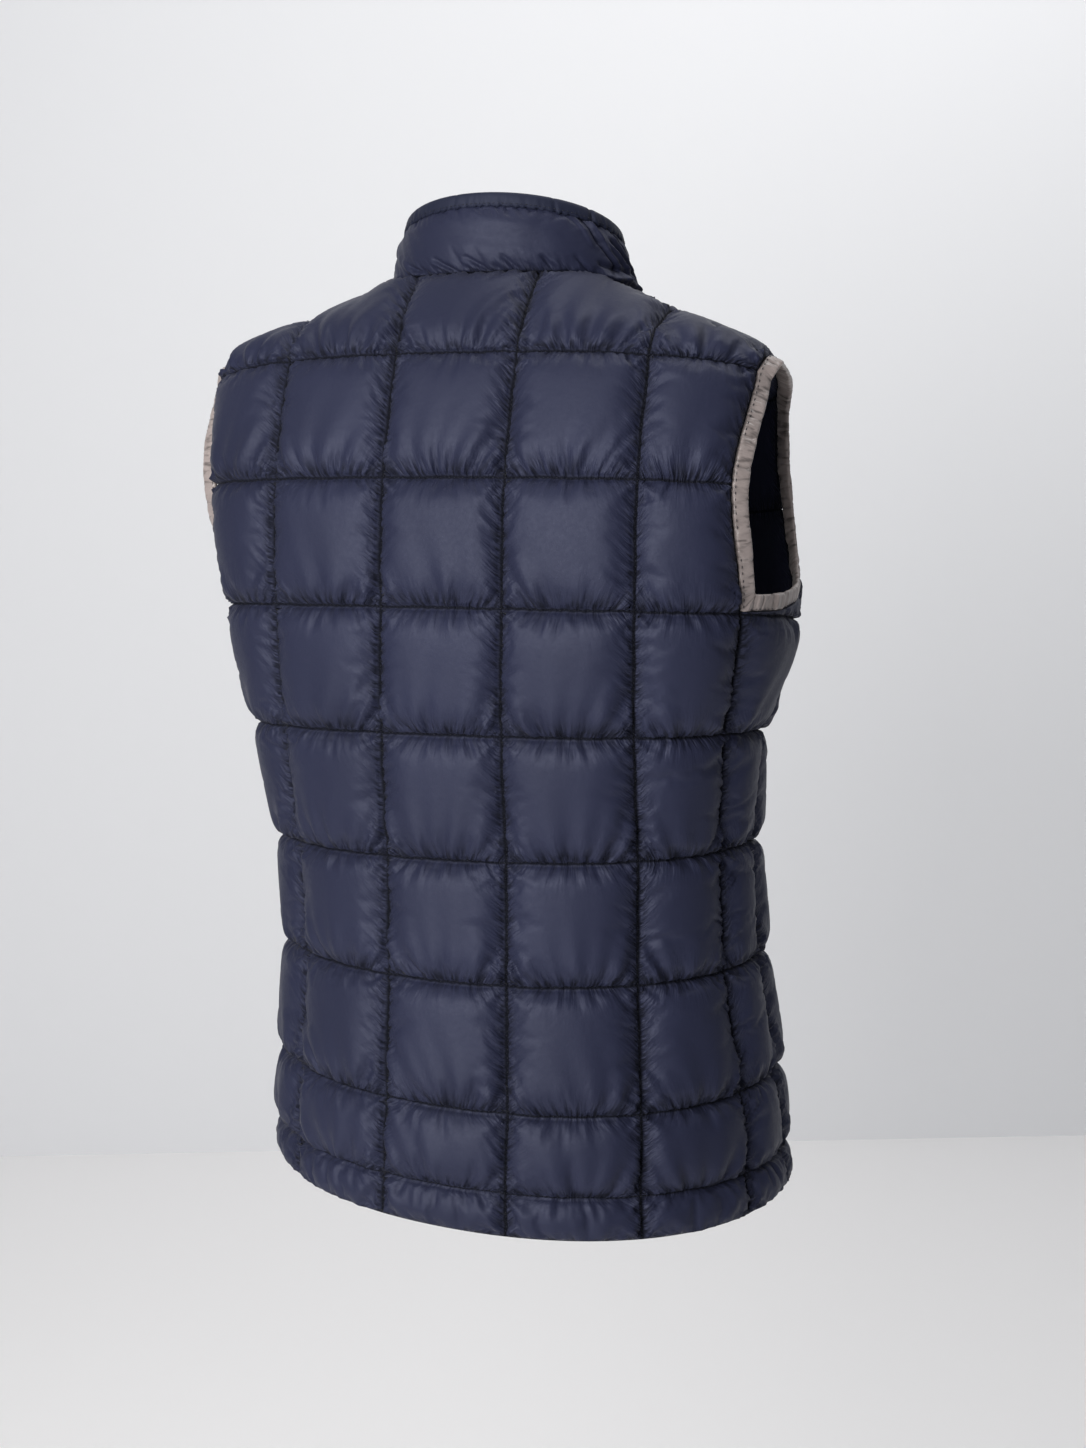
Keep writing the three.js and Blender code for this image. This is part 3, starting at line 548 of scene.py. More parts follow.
def hump(distance, reach):
    """Rises to 1 at the reach and fades beyond it."""
    near = np.maximum(distance, 0) / reach
    return near * np.exp(1 - near)


def fan_out(along, offset, near):
    """Lengths along a seam, drawn in towards its middle so that folds fan out from it."""
    return along - offset * (1 - 1 / (1 + FAN_SPREAD * near))


def seam_gathers(piece, axis, line, rng, height, fans):
    """The gathers on both sides of one seam, and the fans over it where it lies level."""
    along = piece.up if axis == 0 else piece.across
    across = piece.across if axis == 0 else piece.up
    here = (slice(None), slice(line, line + 1)) if axis == 0 else (slice(line, line + 1),)
    distance = across - across[here]
    offset = (piece.share[0] - 0.5) * FAN_FOOT
    rise = np.zeros(along.shape)
    for side in (-1, 1):
        near = np.abs(distance)
        uneven = UNEVEN["least"] + UNEVEN["swing"] * slow_noise(along, UNEVEN["length"], rng)
        if axis == 0:
            tilt = (TILT["swing"] * slow_noise(along, TILT["length"], rng) - GATHER_SLANT) * near
            crests = waves(along, GATHER_LENGTHS, rng, tilt)
        else:
            crests = waves(fan_out(along, offset, near), GATHER_LENGTHS, rng)
        rise += height * crests * uneven * hump(distance * side, GATHER_REACH)
        if axis == 1 and side > 0:
            crests = waves(fan_out(along, offset, near), FAN_LENGTHS, rng)
            rise += fans * crests * hump(distance, FAN_REACH)
    return rise


def corner_gathers(piece, rng, height):
    """Small folds that run out from each crossing of two lines."""
    rise = np.zeros(piece.across.shape)
    for j in piece.lines[1]:
        for i in piece.lines[0]:
            x = piece.across - piece.across[:, i:i + 1]
            y = piece.up - piece.up[j:j + 1, :]
            turn, away = np.arctan2(y, x), np.hypot(x, y)
            folds = np.cos(CORNER_FOLDS * turn + rng.uniform(-0.5, 0.5))
            folds = folds + FEWER_SHARE * np.cos(FEWER_FOLDS * turn + any_turn(rng))
            rise += height * folds * hump(away, CORNER_REACH) * (away < CORNER_LIMIT)
    return rise


def gathers(piece, seed, height, fans):
    """How far the gathers along every seam, and the fans over the lower ones, stand out."""
    rng = np.random.default_rng(seed)
    rise = corner_gathers(piece, rng, height)
    for axis in (0, 1):
        for line in piece.lines[axis]:
            share = HEM_SHARE if axis == 1 and line == 0 else 1.0
            rise += share * seam_gathers(piece, axis, line, rng, height, fans)
    return rise * piece.free


UPRIGHT_LIP, LEVEL_LIP = (0.0022, 0.0028), (0.0010, 0.0024)    # height, and how soon it is reached


def lips(piece):
    """The steep sides of the groove that the thread pulls between two squares."""
    upright, level = piece.from_seams()
    return (UPRIGHT_LIP[0] * (1 - np.exp(-upright / UPRIGHT_LIP[1]))
            + LEVEL_LIP[0] * (1 - np.exp(-level / LEVEL_LIP[1]))) * piece.puff() ** 0.25


# ---- meshes from grids ---------------------------------------------------------------------------

PLACE = "grid_place"


def add_grid(bm, shape, layer, step=1):
    """Adds a grid of cloth and notes on each point which place of the full grid it has."""
    rows, columns = (shape[0] - 1) // step, (shape[1] - 1) // step
    made = bmesh.ops.create_grid(bm, x_segments=columns, y_segments=rows, size=0.5)
    for vert in made["verts"]:
        i = round((vert.co.x + 0.5) * columns) * step
        j = round((vert.co.y + 0.5) * rows) * step
        vert[layer] = j * shape[1] + i
    return made["verts"]


def drop_absent(bm, verts, layer, present):
    """Takes away the squares of a grid that are not cloth."""
    columns = present.shape[1] + 1
    gone = []
    for face in {face for vert in verts for face in vert.link_faces}:
        corner = min(vert[layer] for vert in face.verts)
        if not present[corner // columns, corner % columns]:
            gone.append(face)
    bmesh.ops.delete(bm, geom=gone, context="FACES")


def add_object(name, data):
    made = bpy.data.objects.new(name, data)
    bpy.context.scene.collection.objects.link(made)
    return made


def new_mesh(name, bm):
    mesh = bpy.data.meshes.new(name)
    bm.to_mesh(mesh)
    bm.free()
    return mesh


def write_mesh(name, bm, smooth=True):
    mesh = new_mesh(name, bm)
    if smooth:
        mesh.shade_smooth()
    return add_object(name, mesh)


def read_whole(items, name):
    """One whole number of each item of a mesh."""
    values = np.zeros(len(items), int)
    items.foreach_get(name, values)
    return values


def read_places(mesh):
    return read_whole(mesh.attributes[PLACE].data, "value")


def read_points(mesh):
    co = np.zeros(len(mesh.vertices) * 3)
    mesh.vertices.foreach_get("co", co)
    return co.reshape(-1, 3)


def write_points(mesh, points):
    mesh.vertices.foreach_set("co", points.ravel())
    mesh.update()


# ---- cutting, sewing and filling ---------------------------------------------------------------

SUNK = 0.0020            # how deep the thread pulls the outer cloth in
STITCH_PITCH = 0.0034
SUNK_UNEVENLY, SINK_LENGTHS = 0.00025, (STITCH_PITCH * 1.7, 0.011)
# How far a line of stitching strays from its straight way, slowly and from stitch to stitch.
STRAY = {"far": 0.0005, "length": 0.018, "fine": 0.0004, "fine_lengths": (0.0072,)}
SWELL_FRAMES = 12


def sewn_points(piece, seed):
    """The cloth pulled in by its thread: a slightly uneven line along every seam."""
    rng = np.random.default_rng(seed)
    points = piece.points.copy()
    for axis in (0, 1):
        along = piece.across if axis == 1 else piece.up
        for line in piece.lines[axis][1:-1]:
            here = piece.on_line(axis, line)
            at = along[here]
            sink = SUNK_UNEVENLY * waves(at, SINK_LENGTHS, rng)
            stray = STRAY["far"] * slow_noise(at, STRAY["length"], rng)
            stray = stray + STRAY["fine"] * waves(at, STRAY["fine_lengths"], rng)
            step = np.gradient(points, axis=1 - axis)[here]
            points[here] += piece.out[here] * sink[:, None] + unit(step) * stray[:, None]
    return points


def cut(name, piece, seed, height, fans, start):
    """Cuts a piece of cloth, with its gathers, ready to be filled."""
    bm = bmesh.new()
    layer = bm.verts.layers.int.new(PLACE)
    verts = add_grid(bm, piece.across.shape, layer)
    drop_absent(bm, verts, layer, piece.present)
    sewn = sewn_points(piece, seed)
    rise = start * piece.puff() + gathers(piece, seed + 1, height, fans)
    rise = np.where(piece.stitched(), -SUNK, rise)
    points = (sewn + piece.out * rise[..., None]).reshape(-1, 3)
    for vert in bm.verts:
        vert.co = points[vert[layer]]
    outward = piece.out.reshape(-1, 3)
    face = next(iter(bm.faces))
    face.normal_update()
    if face.normal.dot(Vector(outward[face.verts[0][layer]])) < 0:
        bmesh.ops.reverse_faces(bm, faces=bm.faces[:])
    bm.verts.index_update()
    pinned = [vert.index for vert in bm.verts
              if vert.is_boundary or piece.stitched().flat[vert[layer]]]
    cut_piece = write_mesh(name, bm)
    cut_piece.vertex_groups.new(name="sewn").add(pinned, 1.0, "REPLACE")
    return cut_piece


def add_cloth(piece, growth, pressure, sag):
    """Down swells the cloth: pressure inside it, with its stitching held."""
    modifier = piece.modifiers.new("down", "CLOTH")
    settings = modifier.settings
    settings.quality = 4
    settings.mass = 0.001
    settings.tension_stiffness = 15
    settings.compression_stiffness = 15
    settings.shear_stiffness = 5
    settings.bending_stiffness = 0.02
    settings.use_pressure = True
    settings.uniform_pressure_force = pressure
    settings.shrink_min = -growth
    settings.vertex_group_mass = "sewn"
    settings.effector_weights.gravity = sag
    modifier.collision_settings.use_collision = False
    modifier.collision_settings.use_self_collision = False
    modifier.point_cache.frame_start = 1
    modifier.point_cache.frame_end = SWELL_FRAMES


def swell(pieces, fullness):
    """Runs the cloth of all the pieces together and keeps the result in their meshes.

    The down spreads evenly, so the middle of a square is flatter than its cloth would allow.
    """
    scene = bpy.context.scene
    for number in range(1, SWELL_FRAMES + 1):
        scene.frame_set(number)
    graph = bpy.context.evaluated_depsgraph_get()
    for piece in pieces:
        grid = cloths[piece.name][0]
        places = read_places(piece.data)
        out = grid.out.reshape(-1, 3)[places]
        points = read_points(piece.evaluated_get(graph).data)
        height = ((points - grid.points.reshape(-1, 3)[places]) * out).sum(1)
        rise = np.maximum(height, 0)
        kept = rise / (1 + (rise / fullness) ** 4) ** 0.25 * grid.free.ravel()[places]
        points += out * (kept - rise)[:, None]
        piece.modifiers.clear()
        write_points(piece.data, points)
    scene.frame_set(1)


def rim(bm, side, which):
    """The edge of the outer wall, 0, or of the lining, 1."""
    return [edge for edge in bm.edges if edge.is_boundary and edge.verts[0][side] == which]


def close_wall(piece, grid, inside):
    """Gives a filled piece its inner wall, sewn to the outer one all round its edge."""
    bm = bmesh.new()
    bm.from_mesh(piece.data)
    layer = bm.verts.layers.int[PLACE]
    side = bm.verts.layers.int.new("lining")
    verts = add_grid(bm, grid.across.shape, layer, step=2)
    for vert in verts:
        vert[side] = 1
    drop_absent(bm, verts, layer, grid.present)
    split = bmesh.ops.subdivide_edges(bm, edges=rim(bm, side, 1), cuts=1)
    for vert in (item for item in split["geom_inner"] if isinstance(item, bmesh.types.BMVert)):
        ends = [edge.other_vert(vert)[layer] for edge in vert.link_edges][:2]
        vert[layer] = (ends[0] + ends[1]) // 2
        vert[side] = 1
    points = inside.reshape(-1, 3)
    for vert in bm.verts:
        if vert[side]:
            vert.co = points[vert[layer]]
    bmesh.ops.bridge_loops(bm, edges=rim(bm, side, 0) + rim(bm, side, 1))
    bmesh.ops.recalc_face_normals(bm, faces=bm.faces[:])
    bm.to_mesh(piece.data)
    bm.free()
    piece.data.shade_smooth()


INNER_GATHERS, INNER_SHARE = 0.0005, 0.6


def inner_points(grid, seed):
    """The inside of a padded wall, with a few soft gathers of its own."""
    creases = INNER_SHARE * gathers(grid, seed, INNER_GATHERS, INNER_GATHERS)
    creases = np.where(grid.stitched(), 0, creases)
    depth = STITCHED * MM + PUFF_IN * MM * grid.puff() + creases
    return grid.points - grid.out * depth[..., None]


def lay_out_flat(piece, grid):
    """UV maps for what follows the cloth: lengths in metres, and places among the squares."""
    places = read_places(piece.data)
    corners = read_whole(piece.data.loops, "vertex_index")
    for name, (across, up) in (("cloth", (grid.across, grid.up)), ("squares", grid.spaces())):
        flat = np.stack([across.ravel()[places], up.ravel()[places]], -1)
        piece.data.uv_layers.new(name=name).data.foreach_set("uv", flat[corners].ravel())


# ---- strips ------------------------------------------------------------------------------------

def strip(name, frames, section, closed):
    """A soft strip round a line. A frame has a point and the ways across and out of the strip.

    section gives, for each frame, a ring of distances across and out.
    """
    points, across, out = frames
    co = (points[:, None] + across[:, None] * section[:, :, :1]
          + out[:, None] * section[:, :, 1:])
    around = section.shape[1]
    links = len(points) if closed else len(points) - 1
    ring = length_along(np.concatenate([co[0], co[0, :1]]))
    line = length_along(np.concatenate([points, points[:1]]))
    bm = bmesh.new()
    layer = bm.verts.layers.int.new(PLACE)
    add_grid(bm, (links + 1, around + 1), layer)
    flat = bm.loops.layers.uv.new("cloth")
    for face in bm.faces:
        for loop in face.loops:
            j, i = divmod(loop.vert[layer], around + 1)
            loop[flat].uv = (ring[i], line[j])
    for vert in bm.verts:
        j, i = divmod(vert[layer], around + 1)
        vert.co = co[j % len(points), i % around]
    bmesh.ops.remove_doubles(bm, verts=bm.verts[:], dist=1e-6)
    if not closed:
        rims = [edge for edge in bm.edges if edge.is_boundary]
        bmesh.ops.holes_fill(bm, edges=rims, sides=0)
    bmesh.ops.recalc_face_normals(bm, faces=bm.faces[:])
    return write_mesh(name, bm)


def soft_ring(low, high, front, back, around, corner=3.2):
    """A ring round a flat strip with soft edges, from low to high across, back to front out."""
    turn = np.linspace(0, 2 * math.pi, around, endpoint=False)
    power = 2 / corner
    x = np.sign(np.cos(turn)) * np.abs(np.cos(turn)) ** power
    y = np.sign(np.sin(turn)) * np.abs(np.sin(turn)) ** power
    return np.stack([(low + high) / 2 + x * (high - low) / 2,
                     (front + back) / 2 + y * (front - back) / 2], -1)


def cloth_out(squares, rows, facing, turn):
    """The way out of the stitched cloth at squares and rows."""
    step = 0.02
    low, high = np.maximum(rows - step, 0), np.minimum(rows + step, TOP_ROW)
    wide = cloth(squares + step, rows, facing) - cloth(squares - step, rows, facing)
    tall = cloth(squares, high, facing) - cloth(squares, low, facing)
    return unit(np.cross(wide, tall)) * turn


def evened(values, width):
    """Values round a closed line, evened out over a few neighbours."""
    total = sum(np.roll(values, k, axis=0) for k in range(-width, width + 1))
    return total / (2 * width + 1)


ARMHOLE_COUNT = 220                    # points up the back's edge, and down the front's
UNDERARM_COUNT = 60
ARMHOLE_STEP = 0.8                     # mm from one frame of an armhole to the next
SHOULDER_REACH = 34                    # mm either side of the shoulder seam left unrounded
NEAR_SHOULDER, ELSEWHERE = 3, 12       # steps over which the line's corners are rounded
OUT_EVENED, ALONG_EVENED = 6, 3        # the same for its directions
FLARE = {1: 42, -1: 0}                 # degrees that the back's tape turns out, by side
FLARE_HIGH = 1.25                      # over 1, it turns out most above its middle


def armhole_frames(side):
    """The line of an armhole's edge: up the back, down the front and under the arm.

    Gives its points, the ways across and out of the tape, and how far rounding moved it.
    """
    count = ARMHOLE_COUNT
    seam_row = ARMHOLE_ROW + UNDERARM_RISE[-1]
    up = np.linspace(seam_row, TOP_ROW, count)
    down = np.linspace(TOP_ROW, CORNER_ROW, count)[1:]
    share = np.linspace(0, 1, UNDERARM_COUNT + 1)[1:-1]
    rise = ARMHOLE_ROW + np.interp(share, np.linspace(0, 1, len(UNDERARM_RISE)), UNDERARM_RISE)
    under = np.array([front_edge(CORNER_ROW, side)
                      + (front_seam(row, side) - front_edge(CORNER_ROW, side)) * t
                      for row, t in zip(rise, share)])
    back = side * np.array([back_edge(row, side) for row in up])
    front = side * np.array([front_edge(row, side) for row in down])
    parts = ((back, up, "back"), (front, down, "front"), (side * under, rise, "front"))
    points = np.concatenate([cloth(*part) for part in parts])
    out = np.concatenate([cloth_out(*part, turn) for part, turn in zip(parts, (-1, 1, 1))])
    out[count - 1] = unit(np.array([SHOULDER_END["slope"] * side, 0, 1]))
    out = unit(evened(out, OUT_EVENED))
    points, out = (np.concatenate([values, values[:1]]) for values in (points, out))
    length = length_along(points)
    at = np.linspace(0, length[-1], round(length[-1] / ARMHOLE_STEP), endpoint=False)
    shoulder = np.exp(-((at - length[count - 1]) / SHOULDER_REACH) ** 4)[:, None]
    edge, (out,) = at_lengths(points, length, [out], at)
    points = (evened(evened(edge, NEAR_SHOULDER), NEAR_SHOULDER) * shoulder
              + evened(evened(edge, ELSEWHERE), ELSEWHERE) * (1 - shoulder))
    out = unit(evened(out, ELSEWHERE))
    ahead = np.roll(points, -1, axis=0) - np.roll(points, 1, axis=0)
    along = unit(evened(ahead, ALONG_EVENED))
    across = unit(np.cross(out, along)) * side
    moved = np.maximum(((points - edge) * across).sum(-1), 0)
    share = np.clip(at / length[count - 1], 0, 1)[:, None]
    lift = math.radians(FLARE[side]) * np.sin(math.pi * share ** FLARE_HIGH) ** 2
    across, out = turned(across, out, lift)
    return points * MM, across, out, moved * MM


CLOSURE_STEPS = 30                     # up the front of the collar


def closure_frames(fronts):
    """The middle of the closure from the hem to the collar's rim, its half width and frame."""
    left, right = (grid.points[:, 0] for grid in fronts)
    out = unit(fronts[0].out[:, 0] + fronts[1].out[:, 0])
    _, _, top, up, _ = collar_uprights(COLLAR_STEPS[0])
    slope = unit(up[0] + up[-1])
    collar_out = np.array([0, -slope[2], slope[1]])
    share = np.linspace(0, 1, CLOSURE_STEPS + 1)[1:, None]

    def up_collar(line, end):
        neck, top_edge = line[-1] / MM, top[end] + up[end] * EDGE_HEIGHT
        return np.concatenate([line, (neck + (top_edge - neck) * share) * MM])

    left, right = up_collar(left, -1), up_collar(right, 0)
    out = np.concatenate([out[:-1], unit(out[-1:] + collar_out),
                          np.repeat(collar_out[None], len(share), 0)])
    half = np.linalg.norm(left - right, axis=1) / 2
    return (left + right) / 2, unit(left - right), out, half


# ---- materials ---------------------------------------------------------------------------------

class Finish:
    """A material under construction: its shader and short ways to add and join nodes."""

    def __init__(self, name, roughness, **constants):
        self.material = bpy.data.materials.new(name)
        self.material.use_nodes = True
        self.tree = self.material.node_tree
        self.shader = next(node for node in self.tree.nodes if node.type == "BSDF_PRINCIPLED")
        self.set("Roughness", roughness)
        for socket, value in constants.items():
            self.set(socket.replace("_", " "), value)

    def set(self, socket, value):
        self.shader.inputs[socket].default_value = value

    def node(self, kind, **inputs):
        made = self.tree.nodes.new("ShaderNode" + kind)
        for name, value in inputs.items():
            self.join(value, made.inputs[name.replace("_", " ")])
        return made

    def join(self, value, socket):
        if isinstance(value, bpy.types.NodeSocket):
            self.tree.links.new(value, socket)
        else:
            socket.default_value = value

    def math(self, operation, first, second=0.0):
        made = self.tree.nodes.new("ShaderNodeMath")
        made.operation = operation
        self.join(first, made.inputs[0])
        self.join(second, made.inputs[1])
        return made.outputs[0]

    def times(self, first, second):
        return self.math("MULTIPLY", first, second)

    def plus(self, first, second):
        return self.math("ADD", first, second)

    def ribs(self, along, pitch):
        """A wave of ribs with a pitch in metres."""
        return self.math("SINE", self.times(along, 2 * math.pi / pitch))

    def noise(self, where, scale, detail=2.0, roughness=0.5):
        made = self.node("TexNoise", Vector=where, Scale=scale, Detail=detail,
                         Roughness=roughness)
        return made.outputs["Fac"]

    def object_place(self):
        return self.tree.nodes.new("ShaderNodeTexCoord").outputs["Object"]

    def cloth_place(self, uv_map="cloth"):
        made = self.tree.nodes.new("ShaderNodeUVMap")
        made.uv_map = uv_map
        return made.outputs["UV"]

    def stretched(self, where, scale):
        made = self.tree.nodes.new("ShaderNodeMapping")
        self.join(where, made.inputs["Vector"])
        made.inputs["Scale"].default_value = scale
        return made.outputs["Vector"]

    def mix(self, share, first, second):
        made = self.tree.nodes.new("ShaderNodeMix")
        made.data_type = "RGBA"
        self.join(share, made.inputs["Factor"])
        for name, value in (("A", first), ("B", second)):
            self.join(value, next(socket for socket in made.inputs
                                  if socket.name == name and socket.type == "RGBA"))
        return next(socket for socket in made.outputs if socket.type == "RGBA")

    def between(self, value, low, high, to_low, to_high):
        made = self.node("MapRange", Value=value, From_Min=low, From_Max=high, To_Min=to_low,
                         To_Max=to_high)
        return made.outputs["Result"]

    def paint(self, colour):
        self.join(colour, self.shader.inputs["Base Color"])

    def mottle(self, value, colour, dark, light, low=0.3, high=0.7):
        """Paints between a darker and a lighter tone of a colour, as a value goes up."""
        shade = self.between(value, low, high, 0.0, 1.0)
        base = self.mix(shade, tone(colour, dark), tone(colour, light))
        self.paint(base)
        return base

    def bump(self, height):
        """Bumps of a height in metres."""
        made = self.node("Bump", Height=height, Strength=1.0, Distance=1.0)
        self.tree.links.new(made.outputs["Normal"], self.shader.inputs["Normal"])


def tone(colour, share):
    return (colour[0] * share, colour[1] * share, colour[2] * share, 1.0)


THREAD = 0.00035            # from thread to thread of taffeta, in metres
SATIN_RIB, TAPE_RIB, TAPE_ZIGZAG = 0.0006, 0.0007, 0.001
FINE_GRAIN = (3.0, 0.6)     # detail and roughness of a fine noise


def taffeta(name, colour, roughness, crinkle, weave):
    """Smooth woven nylon: a fine plain weave under a soft crinkle."""
    finish = Finish(name, roughness, Sheen_Weight=0.03, Sheen_Roughness=0.4,
                    Specular_IOR_Level=0.26, Specular_Tint=(0.74, 0.78, 1.0, 1.0))
    place = finish.object_place()
    finish.base = finish.mottle(finish.noise(place, 9.0), colour, 0.92, 1.08)
    fine = finish.noise(place, 330.0, *FINE_GRAIN)
    wide = finish.noise(place, 120.0)
    finish.lengths = finish.node("SeparateXYZ", Vector=finish.cloth_place())
    warp, weft = (finish.ribs(finish.lengths.outputs[axis], THREAD) for axis in "XY")
    height = finish.plus(finish.times(fine, crinkle * 0.5), finish.times(wide, crinkle))
    finish.height = finish.plus(height, finish.times(finish.times(warp, weft), weave))
    finish.roughness = finish.between(fine, 0.3, 0.7, roughness - 0.04, roughness + 0.05)
    finish.join(finish.roughness, finish.shader.inputs["Roughness"])
    return finish


SQUARE = 0.092              # about one square of quilting, in metres
# The gathers too fine for the mesh, beside upright seams and above level ones, in metres: from
# crest to crest, their length, and how soon they fade, with the width and darkness of the
# painted shade in the groove along the thread.
FINEST = {"beside": {"pitch": 0.0023, "length": 0.009, "fade": 0.0050, "groove": 0.0020,
                     "dark": 0.93},
          "above": {"pitch": 0.0030, "length": 0.020, "fade": 0.0095, "groove": 0.0017,
                    "dark": 0.85}}
COLLAR_SHARE, DEEPEST = 0.6, 0.75      # the collar's share of them, and the darkest painted shade in a trough
TROUGH = (0.55, 0.40)                  # the noise from where painted shade darkens a trough to where it is dark
TROUGH_NEAR = (0.18, 0.6)              # how near a seam it starts to darken, and is darkest
GROOVE_FULL = 0.35                     # the share of a groove's width that is fully dark
SHADOW_TONE, SHADOW_ROUGH = 0.04, 0.4  # of the painted shade: its tone of the shell's colour, and added roughness
NEXT_LINE, NEXT_SQUARE = 3.7, 11.3     # steps through the noise, so that no two places match


def quilted_taffeta(name, colour, roughness, crinkle, weave, depth, upright=True):
    """Taffeta with the finest gathers, too small for the mesh, along its stitched lines, with
    painted shade in their troughs and along the thread.

    Without upright seams, gathers run only along the level ones.
    """
    finish = taffeta(name, colour, roughness, crinkle, weave)
    squares = finish.node("SeparateXYZ", Vector=finish.cloth_place("squares"))
    u, v = squares.outputs["X"], squares.outputs["Y"]
    beside, above = (finish.times(finish.math("PINGPONG", at, 0.5), SQUARE) for at in (u, v))
    slant = finish.math("SUBTRACT", finish.lengths.outputs["Y"],
                        finish.times(beside, GATHER_SLANT))
    off = finish.times(finish.math("SUBTRACT", finish.math("FRACT", u), 0.5), SQUARE)
    opened = finish.plus(finish.times(above, float(FAN_SPREAD)), 1.0)
    fan = finish.math("DIVIDE", off, opened) if upright else finish.lengths.outputs["X"]

    def folds(along, away, line, place, size):
        half = finish.math("ROUND", finish.times(line, 2.0))
        where = finish.node("CombineXYZ", X=finish.times(along, 1 / size["pitch"]),
                            Y=finish.times(away, 1 / size["length"]),
                            Z=finish.plus(finish.times(half, NEXT_LINE), place))
        return finish.noise(where.outputs["Vector"], 1.0, 2.0, 0.55)

    def fading(away, size):
        """Fades from 1 at the seam."""
        return finish.math("EXPONENT", finish.times(away, -1 / size["fade"]))

    def shadow(folds_at, near, line, size):
        """Painted shade: dark in the depth of the folds, and in the groove along the thread."""
        trough = finish.between(folds_at, *TROUGH, 0.0, 1.0)
        trough = finish.times(trough, finish.between(near, *TROUGH_NEAR, 0.0, DEEPEST))
        groove = finish.between(line, size["groove"] * GROOVE_FULL, size["groove"],
                                size["dark"], 0.0)
        return finish.math("MAXIMUM", trough, groove)

    beside_folds = folds(slant, beside, u, 0.0, FINEST["beside"])
    above_folds = folds(fan, above, v, finish.times(finish.math("FLOOR", u), NEXT_SQUARE),
                        FINEST["above"])
    under = finish.math("LESS_THAN", finish.math("SUBTRACT", v, finish.math("ROUND", v)), 0.0)
    near_side = fading(beside, FINEST["beside"]) if upright else 0.0
    most = 1.0 if upright else COLLAR_SHARE
    near_level = finish.times(fading(above, FINEST["above"]), finish.math(
        "SUBTRACT", most, finish.times(under, most / 2)))
    height = finish.plus(finish.times(beside_folds, near_side),
                         finish.times(above_folds, near_level))
    finish.bump(finish.plus(finish.height, finish.times(height, depth)))
    dark = shadow(above_folds, near_level, above, FINEST["above"])
    if upright:
        dark = finish.math("MAXIMUM", dark,
                           shadow(beside_folds, near_side, beside, FINEST["beside"]))
    # painted shade: the base colour darkened towards 0.04 of the shell's colour in troughs and
    # grooves
    finish.paint(finish.mix(dark, finish.base, tone(colour, SHADOW_TONE)))
    rough = finish.plus(finish.roughness, finish.times(dark, SHADOW_ROUGH))
    finish.join(rough, finish.shader.inputs["Roughness"])
    return finish.material


def satin(name, colour, roughness):
    """Satin tape: a smooth face with a faint rib across, soft uneven wear, and painted shade in its
    creases.
    """
    finish = Finish(name, roughness, Sheen_Weight=0.1, Specular_IOR_Level=0.5,
                    Anisotropic=0.35)
    base = finish.mottle(finish.noise(finish.object_place(), 60.0, 3.0), colour, 0.82, 1.14)
    split = finish.node("SeparateXYZ", Vector=finish.cloth_place())
    rib = finish.ribs(split.outputs["Y"], SATIN_RIB)
    crease = finish.noise(finish.stretched(finish.cloth_place(), (50.0, 260.0, 1.0)), 1.0)
    finish.bump(finish.plus(finish.times(rib, 0.000012), finish.times(crease, 0.0015)))
    # painted shade: the tape's colour darkened towards 0.3 of itself in the troughs of its creases
    deep = finish.between(crease, 0.47, 0.34, 0.0, 0.85)
    finish.paint(finish.mix(deep, base, tone(colour, 0.3)))
    return finish.material


def woven_tape(name, colour):
    """The close herringbone weave of zip tape."""
    finish = Finish(name, 0.7, Sheen_Weight=0.2, Specular_IOR_Level=0.3)
    split = finish.node("SeparateXYZ", Vector=finish.cloth_place())
    zigzag = finish.math("PINGPONG", split.outputs["X"], TAPE_ZIGZAG)
    rib = finish.ribs(finish.plus(split.outputs["Y"], zigzag), TAPE_RIB)
    finish.mottle(rib, colour, 0.8, 1.15, -1.0, 1.0)
    finish.bump(finish.times(rib, 0.00005))
    return finish.material


def plain(name, colour, roughness, metallic=0.0, grain=0.00002, scale=900.0, specular=0.5):
    """A hard or a thread-like finish with a fine even grain."""
    finish = Finish(name, roughness, Metallic=metallic, Specular_IOR_Level=specular)
    fine = finish.noise(finish.object_place(), scale, *FINE_GRAIN)
    finish.mottle(fine, colour, 0.88, 1.12)
    finish.join(finish.between(fine, 0.3, 0.7, roughness * 0.88, roughness * 1.12),
                finish.shader.inputs["Roughness"])
    finish.bump(finish.times(fine, grain))
    return finish.material


# ---- small things in rows --------------------------------------------------------------------

def many(name, template, centres, axes):
    """One mesh of many copies of a small closed form, each with its own centre and axes."""
    points = read_points(template)
    corners = read_whole(template.loops, "vertex_index")
    sizes = read_whole(template.polygons, "loop_total")
    copies = len(centres)
    co = centres[:, None] + np.einsum("pk,nkc->npc", points, axes)
    mesh = bpy.data.meshes.new(name)
    mesh.vertices.add(copies * len(points))
    mesh.vertices.foreach_set("co", co.ravel())
    mesh.loops.add(copies * len(corners))
    every = corners[None] + (np.arange(copies) * len(points))[:, None]
    mesh.loops.foreach_set("vertex_index", every.ravel())
    mesh.polygons.add(copies * len(sizes))
    mesh.polygons.foreach_set("loop_start", running(np.tile(sizes, copies))[:-1])
    mesh.update(calc_edges=True)
    mesh.shade_smooth()
    return add_object(name, mesh)


def small_copies(name, form, centres, axes):
    """Copies of a small form that a function makes, at lists of centres and axes."""
    bm = bmesh.new()
    form(bm)
    bmesh.ops.recalc_face_normals(bm, faces=bm.faces[:])
    template = new_mesh(name + "_form", bm)
    piece = many(name, template, np.concatenate(centres), np.concatenate(axes))
    bpy.data.meshes.remove(template)
    return piece


def stitch_form(bm):
    bmesh.ops.create_icosphere(bm, subdivisions=1, radius=1)


